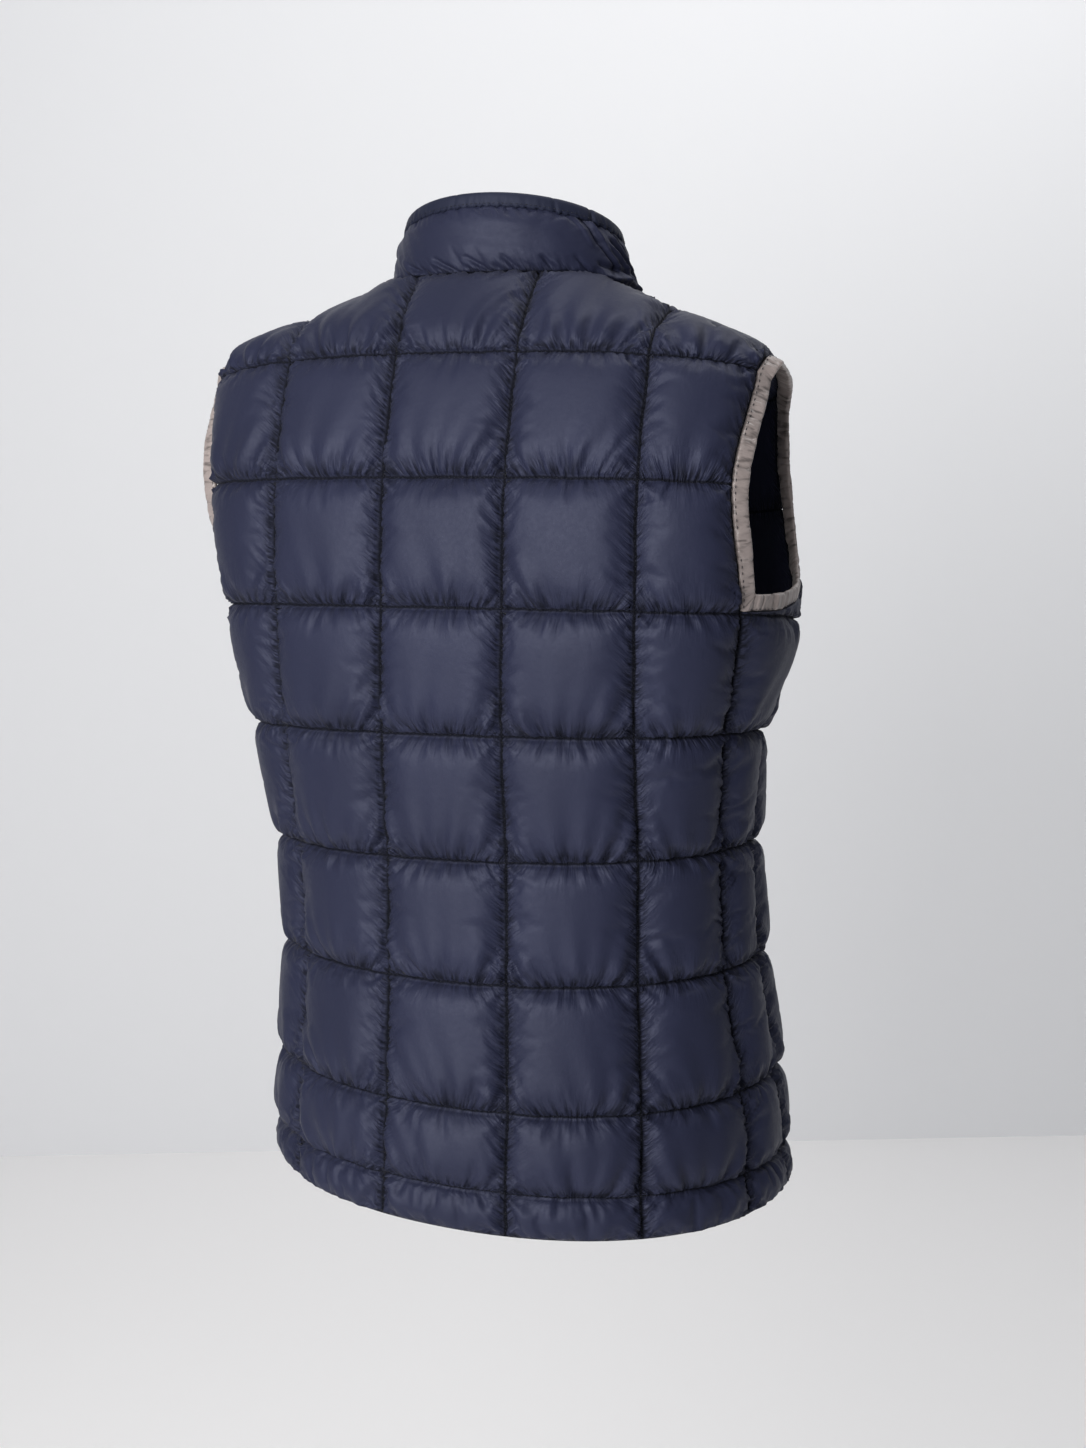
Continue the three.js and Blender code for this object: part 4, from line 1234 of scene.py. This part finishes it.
STITCH = (0.00115, 0.00026, 0.00026)      # half length, width and height of one stitch
BINDING_STITCH, BINDING_PITCH = (0.0012, 0.00036, 0.00028), 0.0046
UNEVEN_PITCH, UNEVEN_TURN = 0.12, 0.16    # shares of a pitch, and radians
STITCH_AHEAD = 0.0008                     # where its line is looked at for its direction
THREAD_OVER = 0.00015                     # the quilting thread's middle over the sunken cloth


def stitches(name, lines, size=STITCH, pitch=STITCH_PITCH):
    """Stitches along lines of points, each lying along its line."""
    rng = np.random.default_rng(SEEDS[name])
    centres, axes = [], []
    for points, out in lines:
        length = length_along(points)
        if length[-1] < pitch * 2:
            continue
        at = np.arange(pitch / 2, length[-1] - pitch / 2, pitch)
        at = at + rng.uniform(-UNEVEN_PITCH, UNEVEN_PITCH, len(at)) * pitch
        place, (up,) = at_lengths(points, length, [out], at)
        ahead, _ = at_lengths(points, length, [], at + STITCH_AHEAD)
        along = unit(ahead - place)
        side = unit(np.cross(up, along))
        up = np.cross(along, side)
        turn = rng.uniform(-UNEVEN_TURN, UNEVEN_TURN, len(at))[:, None]
        along, side = along + side * turn, side - along * turn
        centres.append(place)
        axes.append(np.stack([along * size[0], side * size[1], up * size[2]], 1))
    return small_copies(name, stitch_form, centres, axes)


def at_lengths(points, length, extras, at):
    """Points and other values at lengths along a line."""
    def read(values):
        return np.stack([np.interp(at, length, values[:, k]) for k in range(3)], -1)
    return read(points), [read(value) for value in extras]


# ---- the vest's own pieces -------------------------------------------------------------------

SEEDS = {"collar_rim": 61, "armhole_tape_left": 71, "armhole_tape_right": 72,
         "binding_thread": 73, "quilting_thread": 81}

# Folds of the collar, from one place to another: turn from the back centre in degrees, more
# than 0 on the left, and share of the height, with half the width and the height in mm.
COLLAR_FOLDS = table(
    "turn low turn_to high width rise",
    (-61, 0.97, -63, 0.58, 1.6, -3.4), (-63, 0.60, -71, 0.26, 1.9, -3.2),
    (-66, 0.95, -69, 0.55, 2.2, 2.2), (-57, 0.92, -58, 0.52, 2.4, 1.6),
    (-68, 0.50, -76, 0.24, 2.4, 1.8), (-76, 0.66, -99, 0.08, 1.9, -3.6),
    (-72, 0.62, -92, 0.10, 2.4, 2.6), (-84, 0.76, -106, 0.20, 1.9, -3.0),
    (-81, 0.72, -101, 0.20, 2.2, 1.8), (-58, 0.09, -78, 0.16, 2.4, 3.6),
    (-78, 0.16, -96, 0.10, 2.4, 3.2), (-58, 0.24, -88, 0.29, 1.9, -3.4),
    (-50, 0.97, -52, 0.80, 1.5, -1.6), (-22, 0.97, -21, 0.84, 1.4, -1.4),
    (-35, 0.97, -33, 0.86, 1.4, -1.3), (9, 0.97, 7, 0.85, 1.5, -1.4),
    (30, 0.97, 31, 0.82, 1.5, -1.5), (-8, 0.97, -9, 0.88, 1.3, -1.0),
    (24, 0.26, 15, 0.04, 1.5, -2.6), (27, 0.22, 19, 0.04, 1.5, 1.4),
    (7, 0.27, 0, 0.05, 1.4, -2.6), (10, 0.20, 4, 0.05, 1.4, 1.2),
    (-4, 0.13, -6, 0.04, 1.3, -1.6), (-10, 0.26, -14, 0.04, 1.4, -2.4),
    (-7, 0.22, -10, 0.05, 1.5, 1.3), (-20, 0.14, -22, 0.04, 1.3, -1.5),
    (-28, 0.24, -31, 0.04, 1.6, -2.6), (-32, 0.20, -36, 0.05, 1.5, 1.2),
    (-45, 0.26, -50, 0.05, 1.6, -2.4), (36, 0.16, 31, 0.04, 1.4, -1.6),
    (43, 0.20, 35, 0.05, 1.8, -3.0), (48, 0.30, 44, 0.06, 2.0, 2.2),
    (20, 0.62, -30, 0.40, 6.0, -0.9), (-8, 0.78, -40, 0.62, 5.0, 0.8),
    (62, 0.95, 64, 0.50, 1.9, -3.0), (58, 0.90, 59, 0.52, 2.2, 1.5),
    (78, 0.64, 99, 0.12, 2.0, -3.2), (73, 0.58, 91, 0.12, 2.4, 2.0),
    (60, 0.11, 92, 0.14, 2.4, 2.8), (112, 0.72, 129, 0.18, 2.2, -2.6),
    (-116, 0.68, -135, 0.14, 2.2, -2.6), (147, 0.58, 153, 0.12, 2.0, -2.0),
    (-149, 0.52, -156, 0.10, 2.0, -2.0),
)


FOLD_LEAST, FOLD_ENDS = 0.45, (0.12, 0.76)       # how a fold is lower at its two ends


def fold_share(across, up, fold, place):
    """How much of a fold there is at each point: 1 along its line, fading to its sides."""
    start, end = place(fold["turn"], fold["low"]), place(fold["turn_to"], fold["high"])
    line = end - start
    where = np.stack([across, up], -1) - start
    t = np.clip((where @ line) / (line @ line), 0, 1)
    distance = np.linalg.norm(where - t[..., None] * line, axis=-1)
    fade = FOLD_LEAST + (1 - FOLD_LEAST) * np.sin(math.pi * (FOLD_ENDS[0] + FOLD_ENDS[1] * t))
    return fade * np.exp(-(distance / (fold["width"] * MM)) ** 2)


def collar_folds(grid):
    turns = np.degrees(collar_uprights(COLLAR_STEPS[0])[0])
    middle = grid.across[len(grid.across) // 2]
    height = grid.up[-1, len(turns) // 2]

    def place(turn, share):
        return np.array([np.interp(turn, turns, middle), share * height])

    rise = np.zeros(grid.across.shape)
    for values in zip(*COLLAR_FOLDS.values()):
        fold = dict(zip(COLLAR_FOLDS, values))
        rise += fold["rise"] * MM * fold_share(grid.across, grid.up, fold, place)
    return np.where(grid.stitched(), 0, rise)


def raise_cloth(piece, grid, rise):
    """Moves the cloth of a piece out by a height for each place of its grid."""
    places = read_places(piece.data)
    points = read_points(piece.data)
    write_points(piece.data, points + (grid.out * rise[..., None]).reshape(-1, 3)[places])


def inside_lines(grid, sewn):
    """Runs of the stitched lines inside a piece, a little over the sunken cloth."""
    whole = np.zeros((grid.present.shape[0] + 2, grid.present.shape[1] + 2), bool)
    whole[1:-1, 1:-1] = grid.present
    within_cloth = whole[1:, 1:] & whole[:-1, 1:] & whole[1:, :-1] & whole[:-1, :-1]
    on_top = sewn + grid.out * (THREAD_OVER - SUNK)
    runs = []
    for axis in (0, 1):
        for line in grid.lines[axis][1:-1]:
            here = grid.on_line(axis, line)
            keep = within_cloth[here]
            runs.append((on_top[here][keep], grid.out[here][keep]))
    return runs


EDGE_STEPS = 420
EDGE_RING = (-1.6, EDGE_HEIGHT, 1.5, -4.5)     # its foot and top, front and back, in mm
EDGE_DENTS = ((-62, 0.0016), (-40, 0.0004), (64, 0.0012), (12, 0.0004))   # degrees, depth
DENT_WIDTH = 0.9                               # degrees
EDGE_PUCKER, EDGE_CRESTS, EDGE_SWELLS = 0.00036, (0.0058, 0.0097, 0.0171), 0.023
FOOT_PUCKER, FOOT_CRESTS = 0.0006, (0.0048, 0.0075)
EDGE_STITCHES = (0.0011, 0.0014)               # their line over the edge's foot, and out of it


def edge_strip():
    """The turned edge along the collar's top, puckered by its row of stitches."""
    turns, _, top, up, out = collar_uprights(EDGE_STEPS)
    rng = np.random.default_rng(SEEDS["collar_rim"])
    along = length_along(top * MM)
    ring = soft_ring(*EDGE_RING, 24, 3.0) * MM
    section = np.repeat(ring[None], len(top), 0)
    height = section[:, :, 0] / (EDGE_HEIGHT * MM)
    crests = waves(along, EDGE_CRESTS, rng)[:, None]
    crests = crests * (0.6 + 0.6 * slow_noise(along, EDGE_SWELLS, rng))[:, None]
    outside = np.where(section[:, :, 1] > -0.0015, 1.0, -0.6)
    fade = np.clip(1.15 - height, 0.15, 1)
    section[:, :, 1] += outside * EDGE_PUCKER * crests * fade
    low = np.clip(1 - height * 3, 0, 1)
    section[:, :, 0] += low * FOOT_PUCKER * waves(along, FOOT_CRESTS, rng)[:, None]
    for turn, depth in EDGE_DENTS:
        near = np.exp(-((np.degrees(turns) - turn) / DENT_WIDTH) ** 2)[:, None]
        section[:, :, 1] -= outside * depth * near
        section[:, :, 0] -= 0.5 * depth * near * height
    return strip("collar_rim", (top * MM, up, out), section, False), (top * MM, up, out)


BINDING_CREASES = (0.006, 0.020)       # the shortest and the longest way between two creases
BINDING_LEAN = 0.008                   # how far a crease may slant over the tape's width
BINDING_PUFF = (0.0050, 0.0021)        # width and height of the tape's rise from a crease
BINDING_STITCHES = (0.0021, 0.00008)   # their line from the tape's edge, and above the tape
BINDING_RIPPLE, RIPPLE_LENGTHS = 0.0002, (0.006, 0.0095)
LEAST_PUFF, LEAST_GAP = 0.35, 0.4      # shares of the rise: the flattest, and between near creases


def binding_strip(name, side):
    """Satin tape turned over an armhole's edge, with small creases across it."""
    points, across, out, moved = armhole_frames(side)
    rng = np.random.default_rng(SEEDS[name])
    length = length_along(points)
    over = (BINDING["thick"] - STITCHED) / 2
    ring = soft_ring(BINDING["gap"], BINDING["width"], over, -STITCHED - over, 22, 3.4) * MM
    section = np.repeat(ring[None], len(points), 0)
    share = section[:, :, 0] / (BINDING["width"] * MM)
    outside = np.where(section[:, :, 1] > -STITCHED / 2 * MM, 1.0, -1.0)
    creases = np.arange(0, length[-1], sum(BINDING_CREASES) / 2)
    creases = creases + rng.uniform(-0.5, 0.5, len(creases)) * np.ptp(BINDING_CREASES)
    lean = rng.uniform(-1, 1, len(creases)) * BINDING_LEAN
    bend = rng.uniform(-1, 1, len(creases)) * BINDING_LEAN / 2
    lines = (creases + lean * (share[..., None] - 0.5)
             + bend * np.sin(math.pi * share[..., None]))
    lines = np.sort(lines, axis=-1)
    away = length[:, None, None] - lines
    before = np.where(away >= 0, away, 1).min(-1)
    after = np.where(away < 0, -away, 1).min(-1)
    between = np.sqrt(np.minimum(np.minimum(before, after) / BINDING_PUFF[0], 1))
    which = (away >= 0).sum(-1)
    puff = rng.uniform(LEAST_PUFF, 1, len(creases) + 1)[which]
    puff = puff * np.clip((before + after) / BINDING_CREASES[1], LEAST_GAP, 1)
    rise = BINDING_PUFF[1] * (puff * between - 0.5)
    ripple = BINDING_RIPPLE * waves(length, RIPPLE_LENGTHS, rng)[:, None]
    rise = rise + ripple * (1.1 - 0.6 * share)
    section[:, :, 1] += outside * rise
    section[:, :, 0] -= moved[:, None] * (1 - share)
    line = (points + across * (BINDING_STITCHES[0] - moved[:, None])
            + out * (over * MM + BINDING_STITCHES[1]))
    line, ways_out = (np.concatenate([values, values[:1]]) for values in (line, out))
    return strip(name, (points, across, out), section, True), (line, ways_out)


TAPE = {"inner": 0.1, "parted": 2.3, "parting": 3, "set_back": 1.5, "thick": 0.6,
        "sewn_in": 1.2, "from_hem": 0.4, "step": 2.0}
SLIDER_HALF, SLIDER_BELOW_TOP = 5.6, 24
TOOTH = {"pitch": 2.4, "width": 3.4, "height": 1.25, "thick": 2.2, "middle": 1.15,
         "deep": 1.8, "apart": 2.9, "from_hem": 8.9, "from_slider": 1, "from_top": 1.5}


def along_closure(line, start, stop, pitch):
    """The closure's frames at places a pitch apart, from the hem, in mm."""
    points, across, out, half = line
    length = length_along(points)
    stop = length[-1] / MM - stop
    at = np.append(np.arange(start, stop, pitch), stop) * MM
    point, (side, front, wide) = at_lengths(
        points, length, [across, out, np.repeat(half[:, None], 3, 1)], at)
    return point, unit(side), unit(front), wide[:, 0]


def zip_tape(name, line, side):
    """One tape, from under the teeth to inside the front's edge, parted over the slider."""
    points, across, out, half = along_closure(line, TAPE["from_hem"], 0, TAPE["step"])
    length = length_along(points)
    parted = (length[-1] / MM - SLIDER_BELOW_TOP - SLIDER_HALF - length / MM) / TAPE["parting"]
    inner = TAPE["parted"] + (TAPE["inner"] - TAPE["parted"]) * np.clip(parted, 0, 1)
    section = np.stack([
        soft_ring(low, wide / MM + TAPE["sewn_in"], -TAPE["set_back"],
                  -TAPE["set_back"] - TAPE["thick"], 12, 6.0) * MM
        for low, wide in zip(inner, half)])
    width = float(np.mean(half + (TAPE["sewn_in"] - inner) * MM))
    return strip(name, (points, across * side, out), section, False), length[-1], width


def tooth_form(bm):
    """One moulded tooth: a block with rounded edges and a slightly narrower head."""
    bmesh.ops.create_cube(bm, size=2)
    bmesh.ops.bevel(bm, geom=bm.edges[:], offset=0.28, affect="EDGES", segments=1,
                    profile=0.5, material=-1)
    head = [vert for vert in bm.verts if vert.co.x < 0]
    bmesh.ops.scale(bm, verts=head, vec=(1, 0.86, 0.86))


def zip_teeth(name, line):
    """Both rows of teeth: meshed below the slider, and apart above it."""
    pitch, top = TOOTH["pitch"], SLIDER_BELOW_TOP
    centres, axes = [], []
    size = np.array([TOOTH["width"], TOOTH["height"], TOOTH["thick"]]) / 2 * MM
    whole = length_along(line[0])[-1] / MM
    for side in (-1, 1):
        for start, stop, middle in (
                (TOOTH["from_hem"], top + SLIDER_HALF, TOOTH["middle"]),
                (whole - top + SLIDER_HALF + TOOTH["from_slider"], TOOTH["from_top"],
                 TOOTH["apart"])):
            first = start + (pitch / 2 if side > 0 else 0)
            points, across, out, _ = along_closure(line, first, stop, pitch)
            points, across, out = points[:-1], across[:-1] * side, out[:-1]
            up = np.cross(out, across)
            centres.append(points + across * middle * MM - out * TOOTH["deep"] * MM)
            axes.append(np.stack([across * size[0], up * size[1], out * size[2]], 1))
    piece = small_copies(name, tooth_form, centres, axes)
    piece.data.shade_flat()
    return piece


# ---- settings ----------------------------------------------------------------------------------

def amount(name, description, default, low, high, **kind):
    return FloatProperty(name=name, description=description, default=default, min=low,
                         max=high, **kind)


def colour(name, description, default):
    return FloatVectorProperty(name=name, description=description, default=default, size=3,
                               min=0, max=1, subtype="COLOR")


class VestCloth(bpy.types.PropertyGroup):
    growth: amount("Fullness", "How much more cloth a square has than its stitching",
                   0.045, 0, 0.12, subtype="FACTOR")
    loft: amount("Loft", "How far a full square can stand out over its stitching",
                 0.0085, 0.002, 0.04, unit="LENGTH")
    collar_growth: amount("Collar Fullness", "How much more cloth the collar has",
                          0.022, 0, 0.12, subtype="FACTOR")
    pressure: amount("Down", "How hard the down presses the cloth out", 60.0, 0, 200)
    gather: amount("Gathers", "Height of the gathers along the stitching",
                   0.0008, 0, 0.004, unit="LENGTH")
    fine_gather: amount("Fine Gathers", "Height of the finest gathers, which are bump",
                        0.0042, 0, 0.006, unit="LENGTH")
    fan: amount("Fans", "Height of the wider folds over each lower line",
                0.0015, 0, 0.006, unit="LENGTH")
    sag: amount("Weight", "How much the down's weight pulls the squares down", 0.006, 0, 0.1)
    seed: IntProperty(
        name="Pattern", description="Changes where the gathers fall", default=11, min=0)
    shell: colour("Shell", "Colour of the nylon shell", (0.0165, 0.0187, 0.040))
    rim: colour("Collar Edge", "Colour of the collar's turned edge", (0.0120, 0.0145, 0.030))
    binding: colour("Binding", "Colour of the armhole tape", (0.288, 0.244, 0.231))
    thread: colour("Thread", "Colour of the quilting thread", (0.008, 0.009, 0.016))
    tape: colour("Zip Tape", "Colour of the zip's cloth tape", (0.016, 0.018, 0.030))
    teeth: colour("Zip Teeth", "Colour of the moulded teeth", (0.014, 0.015, 0.020))
    metal: colour("Zip Slider", "Colour of the slider and its pull", (0.20, 0.20, 0.21))


class VestStage(bpy.types.PropertyGroup):
    lens: amount("Lens", "Focal length of the camera", 48.0, 10, 300, unit="CAMERA")
    distance: amount("Wall", "How far behind the vest the wall stands", 2.0, 0.5, 20,
                     unit="LENGTH")
    key: amount("Key Light", "Power of the large light on the camera's left", 70.0, 0, 2000,
                unit="POWER")
    wall_light: amount("Wall Light", "Power of the light that falls on the wall", 33.0, 0,
                       2000, unit="POWER")
    sky: amount("Room Light", "Strength of the even light of the room", 0.185, 0, 10)
    wall: colour("Wall Paint", "Colour of the wall", (0.78, 0.785, 0.80))
    floor: colour("Floor Paint", "Colour of the floor", (0.94, 0.93, 0.925))


# ---- operators ---------------------------------------------------------------------------------

cloths = {}        # the grid that each piece was cut on, its node and its seed, by name
sewing = []        # the lines that are stitched, with the way out along them
COLLAR_CUT = 0.35                      # the collar's share of the panels' puff and gathers
QUICK_PUFF, START_PUFF = 0.0115, 0.005     # a square's height without and before simulation
# Roughness, and the heights of the crinkle and the weave.
SHELL_FINISH, RIM_FINISH = (0.50, 0.00016, 0.000006), (0.58, 0.00014, 0.000006)


def dress(piece, material):
    piece.data.materials.clear()
    piece.data.materials.append(material)


def finish_piece(piece, nodes, material):
    dress(piece, material)
    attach(piece, "root")
    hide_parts(*nodes)


def shell_material(context, upright):
    settings = context.scene.vest_cloth
    name = "shell_taffeta" if upright else "collar_taffeta"
    found = bpy.data.materials.get(name)
    return found or quilted_taffeta(name, settings.shell, *SHELL_FINISH,
                                    settings.fine_gather, upright)


def cut_cloth(context, name, node, grid, seed, share=1.0):
    """Cuts one piece. Without the simulation its squares are given a plain fullness."""
    settings = context.scene.vest_cloth
    start = START_PUFF * share
    piece = cut(name, grid, seed, settings.gather * share, settings.fan * share, start)
    cloths[name] = (grid, node, seed)
    return piece


class VEST_OT_cut_panels(bpy.types.Operator):
    """Cut the back and the two fronts on grids that follow the lines of quilting"""
    bl_idname = "vest.cut_panels"
    bl_label = "Cut Panels"

    def execute(self, context):
        seed = context.scene.vest_cloth.seed
        cut_cloth(context, "back_quilting", "back_panel", back_cloth(), seed)
        cut_cloth(context, "front_left_quilting", "front_left", front_cloth(1), seed + 10)
        cut_cloth(context, "front_right_quilting", "front_right", front_cloth(-1), seed + 20)
        return {"FINISHED"}


class VEST_OT_cut_collar(bpy.types.Operator):
    """Cut the stand collar round the neck seam"""
    bl_idname = "vest.cut_collar"
    bl_label = "Cut Collar"

    def execute(self, context):
        seed = context.scene.vest_cloth.seed + 30
        cut_cloth(context, "collar_shell", "collar", collar_cloth(), seed, COLLAR_CUT)
        return {"FINISHED"}


class VEST_OT_fill_down(bpy.types.Operator):
    """Fill the cut pieces with down until they swell between their seams, and line them"""
    bl_idname = "vest.fill_down"
    bl_label = "Fill with Down"

    def execute(self, context):
        settings = context.scene.vest_cloth
        pieces = [bpy.data.objects[name] for name in cloths]
        for piece in pieces:
            at_collar = piece.name == "collar_shell"
            add_cloth(piece, settings.collar_growth if at_collar else settings.growth,
                      settings.pressure, settings.sag)
        swell(pieces, settings.loft)
        for piece in pieces:
            grid, node, seed = cloths[piece.name]
            if node == "collar":
                raise_cloth(piece, grid, collar_folds(grid))
            else:
                crisp = gathers(grid, seed + 1, settings.gather * CRISP_SHARE,
                                settings.fan * CRISP_SHARE)
                rise = np.where(grid.stitched(), 0, lips(grid) + crisp)
                raise_cloth(piece, grid, rise)
                sewing.extend(inside_lines(grid, sewn_points(grid, seed)))
            close_wall(piece, grid, inner_points(grid, seed + 5))
            lay_out_flat(piece, grid)
            finish_piece(piece, [node], shell_material(context, node != "collar"))
        return {"FINISHED"}


class VEST_OT_turn_edge(bpy.types.Operator):
    """Turn the edge along the top of the collar"""
    bl_idname = "vest.turn_edge"
    bl_label = "Collar Edge"

    def execute(self, context):
        settings = context.scene.vest_cloth
        piece, (top, up, out) = edge_strip()
        finish = taffeta("rim_taffeta", settings.rim, *RIM_FINISH)
        finish.bump(finish.height)
        finish_piece(piece, ["collar_edge"], finish.material)
        sewing.append((top + up * EDGE_STITCHES[0] + out * EDGE_STITCHES[1], out))
        return {"FINISHED"}


class VEST_OT_bind_armholes(bpy.types.Operator):
    """Fold satin tape over the edge of each armhole"""
    bl_idname = "vest.bind_armholes"
    bl_label = "Armhole Bindings"

    def execute(self, context):
        settings = context.scene.vest_cloth
        material = satin("binding_satin", settings.binding, 0.30)
        lines = []
        for word, side in (("left", 1), ("right", -1)):
            piece, line = binding_strip("armhole_tape_" + word, side)
            finish_piece(piece, ["armhole_binding_" + word], material)
            length = float(length_along(line[0])[-1])
            lines.append(line)
        piece = stitches("binding_thread", lines, BINDING_STITCH, BINDING_PITCH)
        finish_piece(piece, [], plain("binding_thread", settings.thread, 0.5))
        return {"FINISHED"}


class VEST_OT_stitch(bpy.types.Operator):
    """Lay the quilting thread along every stitched line"""
    bl_idname = "vest.stitch"
    bl_label = "Quilting Thread"

    def execute(self, context):
        settings = context.scene.vest_cloth
        piece = stitches("quilting_thread", sewing)
        finish_piece(piece, [],
                     plain("quilting_thread", settings.thread, 0.4, specular=0.3))
        return {"FINISHED"}


class VEST_OT_fit_zip(bpy.types.Operator):
    """Fit the zip's tapes and teeth, and finish its slider, pull and box"""
    bl_idname = "vest.fit_zip"
    bl_label = "Zip"

    def execute(self, context):
        settings = context.scene.vest_cloth
        fronts = [cloths[name][0] for name in ("front_left_quilting", "front_right_quilting")]
        line = closure_frames(fronts)
        material = woven_tape("zip_tape_weave", settings.tape)
        for word, side in (("left", 1), ("right", -1)):
            piece, length, width = zip_tape("zip_cloth_" + word, line, side)
            finish_piece(piece, ["zip_tape_" + word], material)
        teeth = zip_teeth("zip_teeth", line)
        moulded = plain("zip_moulded", settings.teeth, 0.38)
        finish_piece(teeth, ["zip_chain"], moulded)
        metal = plain("zip_gunmetal", settings.metal, 0.33, 1.0, 0.000008, 500.0)
        for name, material in (("zip_slider", metal), ("zip_pull", metal),
                               ("zip_box", moulded)):
            dress(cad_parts[name], material)
        return {"FINISHED"}


CAMERA_PLACE = (-0.5905, 1.3338, -0.11475)
CAMERA_ANGLES = (23.88, 0.78, 9.508, -1.115)     # bearing, yaw, pitch and roll, in degrees
SENSOR, FAR = 36, 60                             # mm, and as far as it sees in metres
FLOOR, FLOOR_SIZE, WALL_SIZE = -1.5, (12, 12), (14, 8)
MIDDLE = Vector((0, 0, -0.35))                   # of the vest, where the lights point
# Places as seen from the camera: to its left, above and before the middle of the vest.
KEY_LIGHT = {"place": (1.15, 0.6, 1.8), "size": (1.8, 1.8), "colour": (1.0, 0.99, 0.98)}
WALL_LIGHT = {"place": (-0.7, 1.9, -0.25), "size": (2.4, 0.8), "colour": (1.0, 1.0, 1.0)}
WALL_AIM = Vector((0, 0, -0.1))
ROOM_COLOUR = (0.90, 0.93, 1.0, 1.0)


def camera_axes():
    """Right, up and ahead for the camera behind the wearer's right shoulder."""
    bearing, yaw, pitch, roll = (math.radians(angle) for angle in CAMERA_ANGLES)
    ahead = Vector((math.sin(bearing), -math.cos(bearing), 0))
    right = Vector((-math.cos(bearing), -math.sin(bearing), 0))
    up = Vector((0, 0, 1))
    ahead, right = turned(ahead, right, yaw)
    up, ahead = turned(up, ahead, pitch)
    right, up = turned(right, up, roll)
    return right, up, ahead


def placed(right, up, ahead, origin):
    """The place of something that looks ahead."""
    matrix = Matrix((right, up, -ahead)).transposed().to_4x4()
    matrix.translation = origin
    return matrix


def soft_light(name, power, kind, origin, aim):
    light = bpy.data.lights.new(name, "AREA")
    light.shape = "RECTANGLE"
    light.size, light.size_y = kind["size"]
    light.energy = power
    light.color = kind["colour"]
    lamp = add_object(name, light)
    lamp.location = origin
    lamp.rotation_euler = (aim - origin).to_track_quat("-Z", "Y").to_euler()


def flat_stage(name, size, matrix, paint):
    """A painted flat surface behind or under the vest."""
    bm = bmesh.new()
    bmesh.ops.create_grid(bm, x_segments=1, y_segments=1, size=0.5)
    bmesh.ops.scale(bm, verts=bm.verts[:], vec=(*size, 1))
    bmesh.ops.transform(bm, verts=bm.verts[:], matrix=matrix)
    piece = write_mesh(name, bm, smooth=False)
    finish = Finish(name + "_paint", 0.85, Specular_IOR_Level=0.2)
    finish.paint(tone(paint, 1.0))
    dress(piece, finish.material)


class VEST_OT_set_stage(bpy.types.Operator):
    """Set up the floor, the wall, the lights and the camera"""
    bl_idname = "vest.set_stage"
    bl_label = "Stage"

    def execute(self, context):
        settings = context.scene.vest_stage
        right, up, ahead = camera_axes()
        camera = bpy.data.cameras.new("camera")
        camera.lens = settings.lens
        camera.sensor_width = camera.sensor_height = SENSOR
        camera.clip_end = FAR
        holder = add_object("camera", camera)
        holder.matrix_world = placed(right, up, ahead, Vector(CAMERA_PLACE))
        context.scene.camera = holder
        level = Vector((ahead.x, ahead.y, 0)).normalized()
        across = Vector((level.y, -level.x, 0))
        wall = placed(-across, Vector((0, 0, 1)), level, level * settings.distance)
        floor = Matrix.Translation((0, 0, FLOOR))
        flat_stage("floor", FLOOR_SIZE, floor, settings.floor)
        flat_stage("wall", WALL_SIZE, wall, settings.wall)
        for name, power, kind, aim in (
                ("key", settings.key, KEY_LIGHT, MIDDLE),
                ("wall_light", settings.wall_light, WALL_LIGHT,
                 level * settings.distance + WALL_AIM)):
            x, y, z = kind["place"]
            origin = MIDDLE - across * x + Vector((0, 0, y)) - level * z
            soft_light(name, power, kind, origin, aim)
        world = bpy.data.worlds.new("room")
        context.scene.world = world
        world.use_nodes = True
        background = next(node for node in world.node_tree.nodes if node.type == "BACKGROUND")
        background.inputs["Color"].default_value = ROOM_COLOUR
        background.inputs["Strength"].default_value = settings.sky
        context.scene.view_settings.view_transform = "Standard"
        return {"FINISHED"}


OPERATORS = (VEST_OT_cut_panels, VEST_OT_cut_collar, VEST_OT_fill_down, VEST_OT_turn_edge,
             VEST_OT_bind_armholes, VEST_OT_stitch, VEST_OT_fit_zip, VEST_OT_set_stage)


class VEST_PT_build(bpy.types.Panel):
    """The vest's pieces in the order they are made, with their settings"""
    bl_idname = "VEST_PT_build"
    bl_label = "Quilted Down Vest"
    bl_space_type = "VIEW_3D"
    bl_region_type = "UI"
    bl_category = "Vest"

    def draw(self, context):
        layout = self.layout
        for group in (context.scene.vest_cloth, context.scene.vest_stage):
            for name in group.bl_rna.properties.keys():
                if name not in ("name", "rna_type"):
                    layout.prop(group, name)
        for operator in OPERATORS:
            layout.operator(operator.bl_idname)


CLASSES = (VestCloth, VestStage, *OPERATORS, VEST_PT_build)


def register():
    for each in CLASSES:
        bpy.utils.register_class(each)
    bpy.types.Scene.vest_cloth = PointerProperty(type=VestCloth)
    bpy.types.Scene.vest_stage = PointerProperty(type=VestStage)


def unregister():
    del bpy.types.Scene.vest_stage
    del bpy.types.Scene.vest_cloth
    for each in reversed(CLASSES):
        bpy.utils.unregister_class(each)


def main():
    register()
    for operator in OPERATORS:
        group, name = operator.bl_idname.split(".")
        getattr(getattr(bpy.ops, group), name)()
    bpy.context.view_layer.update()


if __name__ == "__main__":
    main()
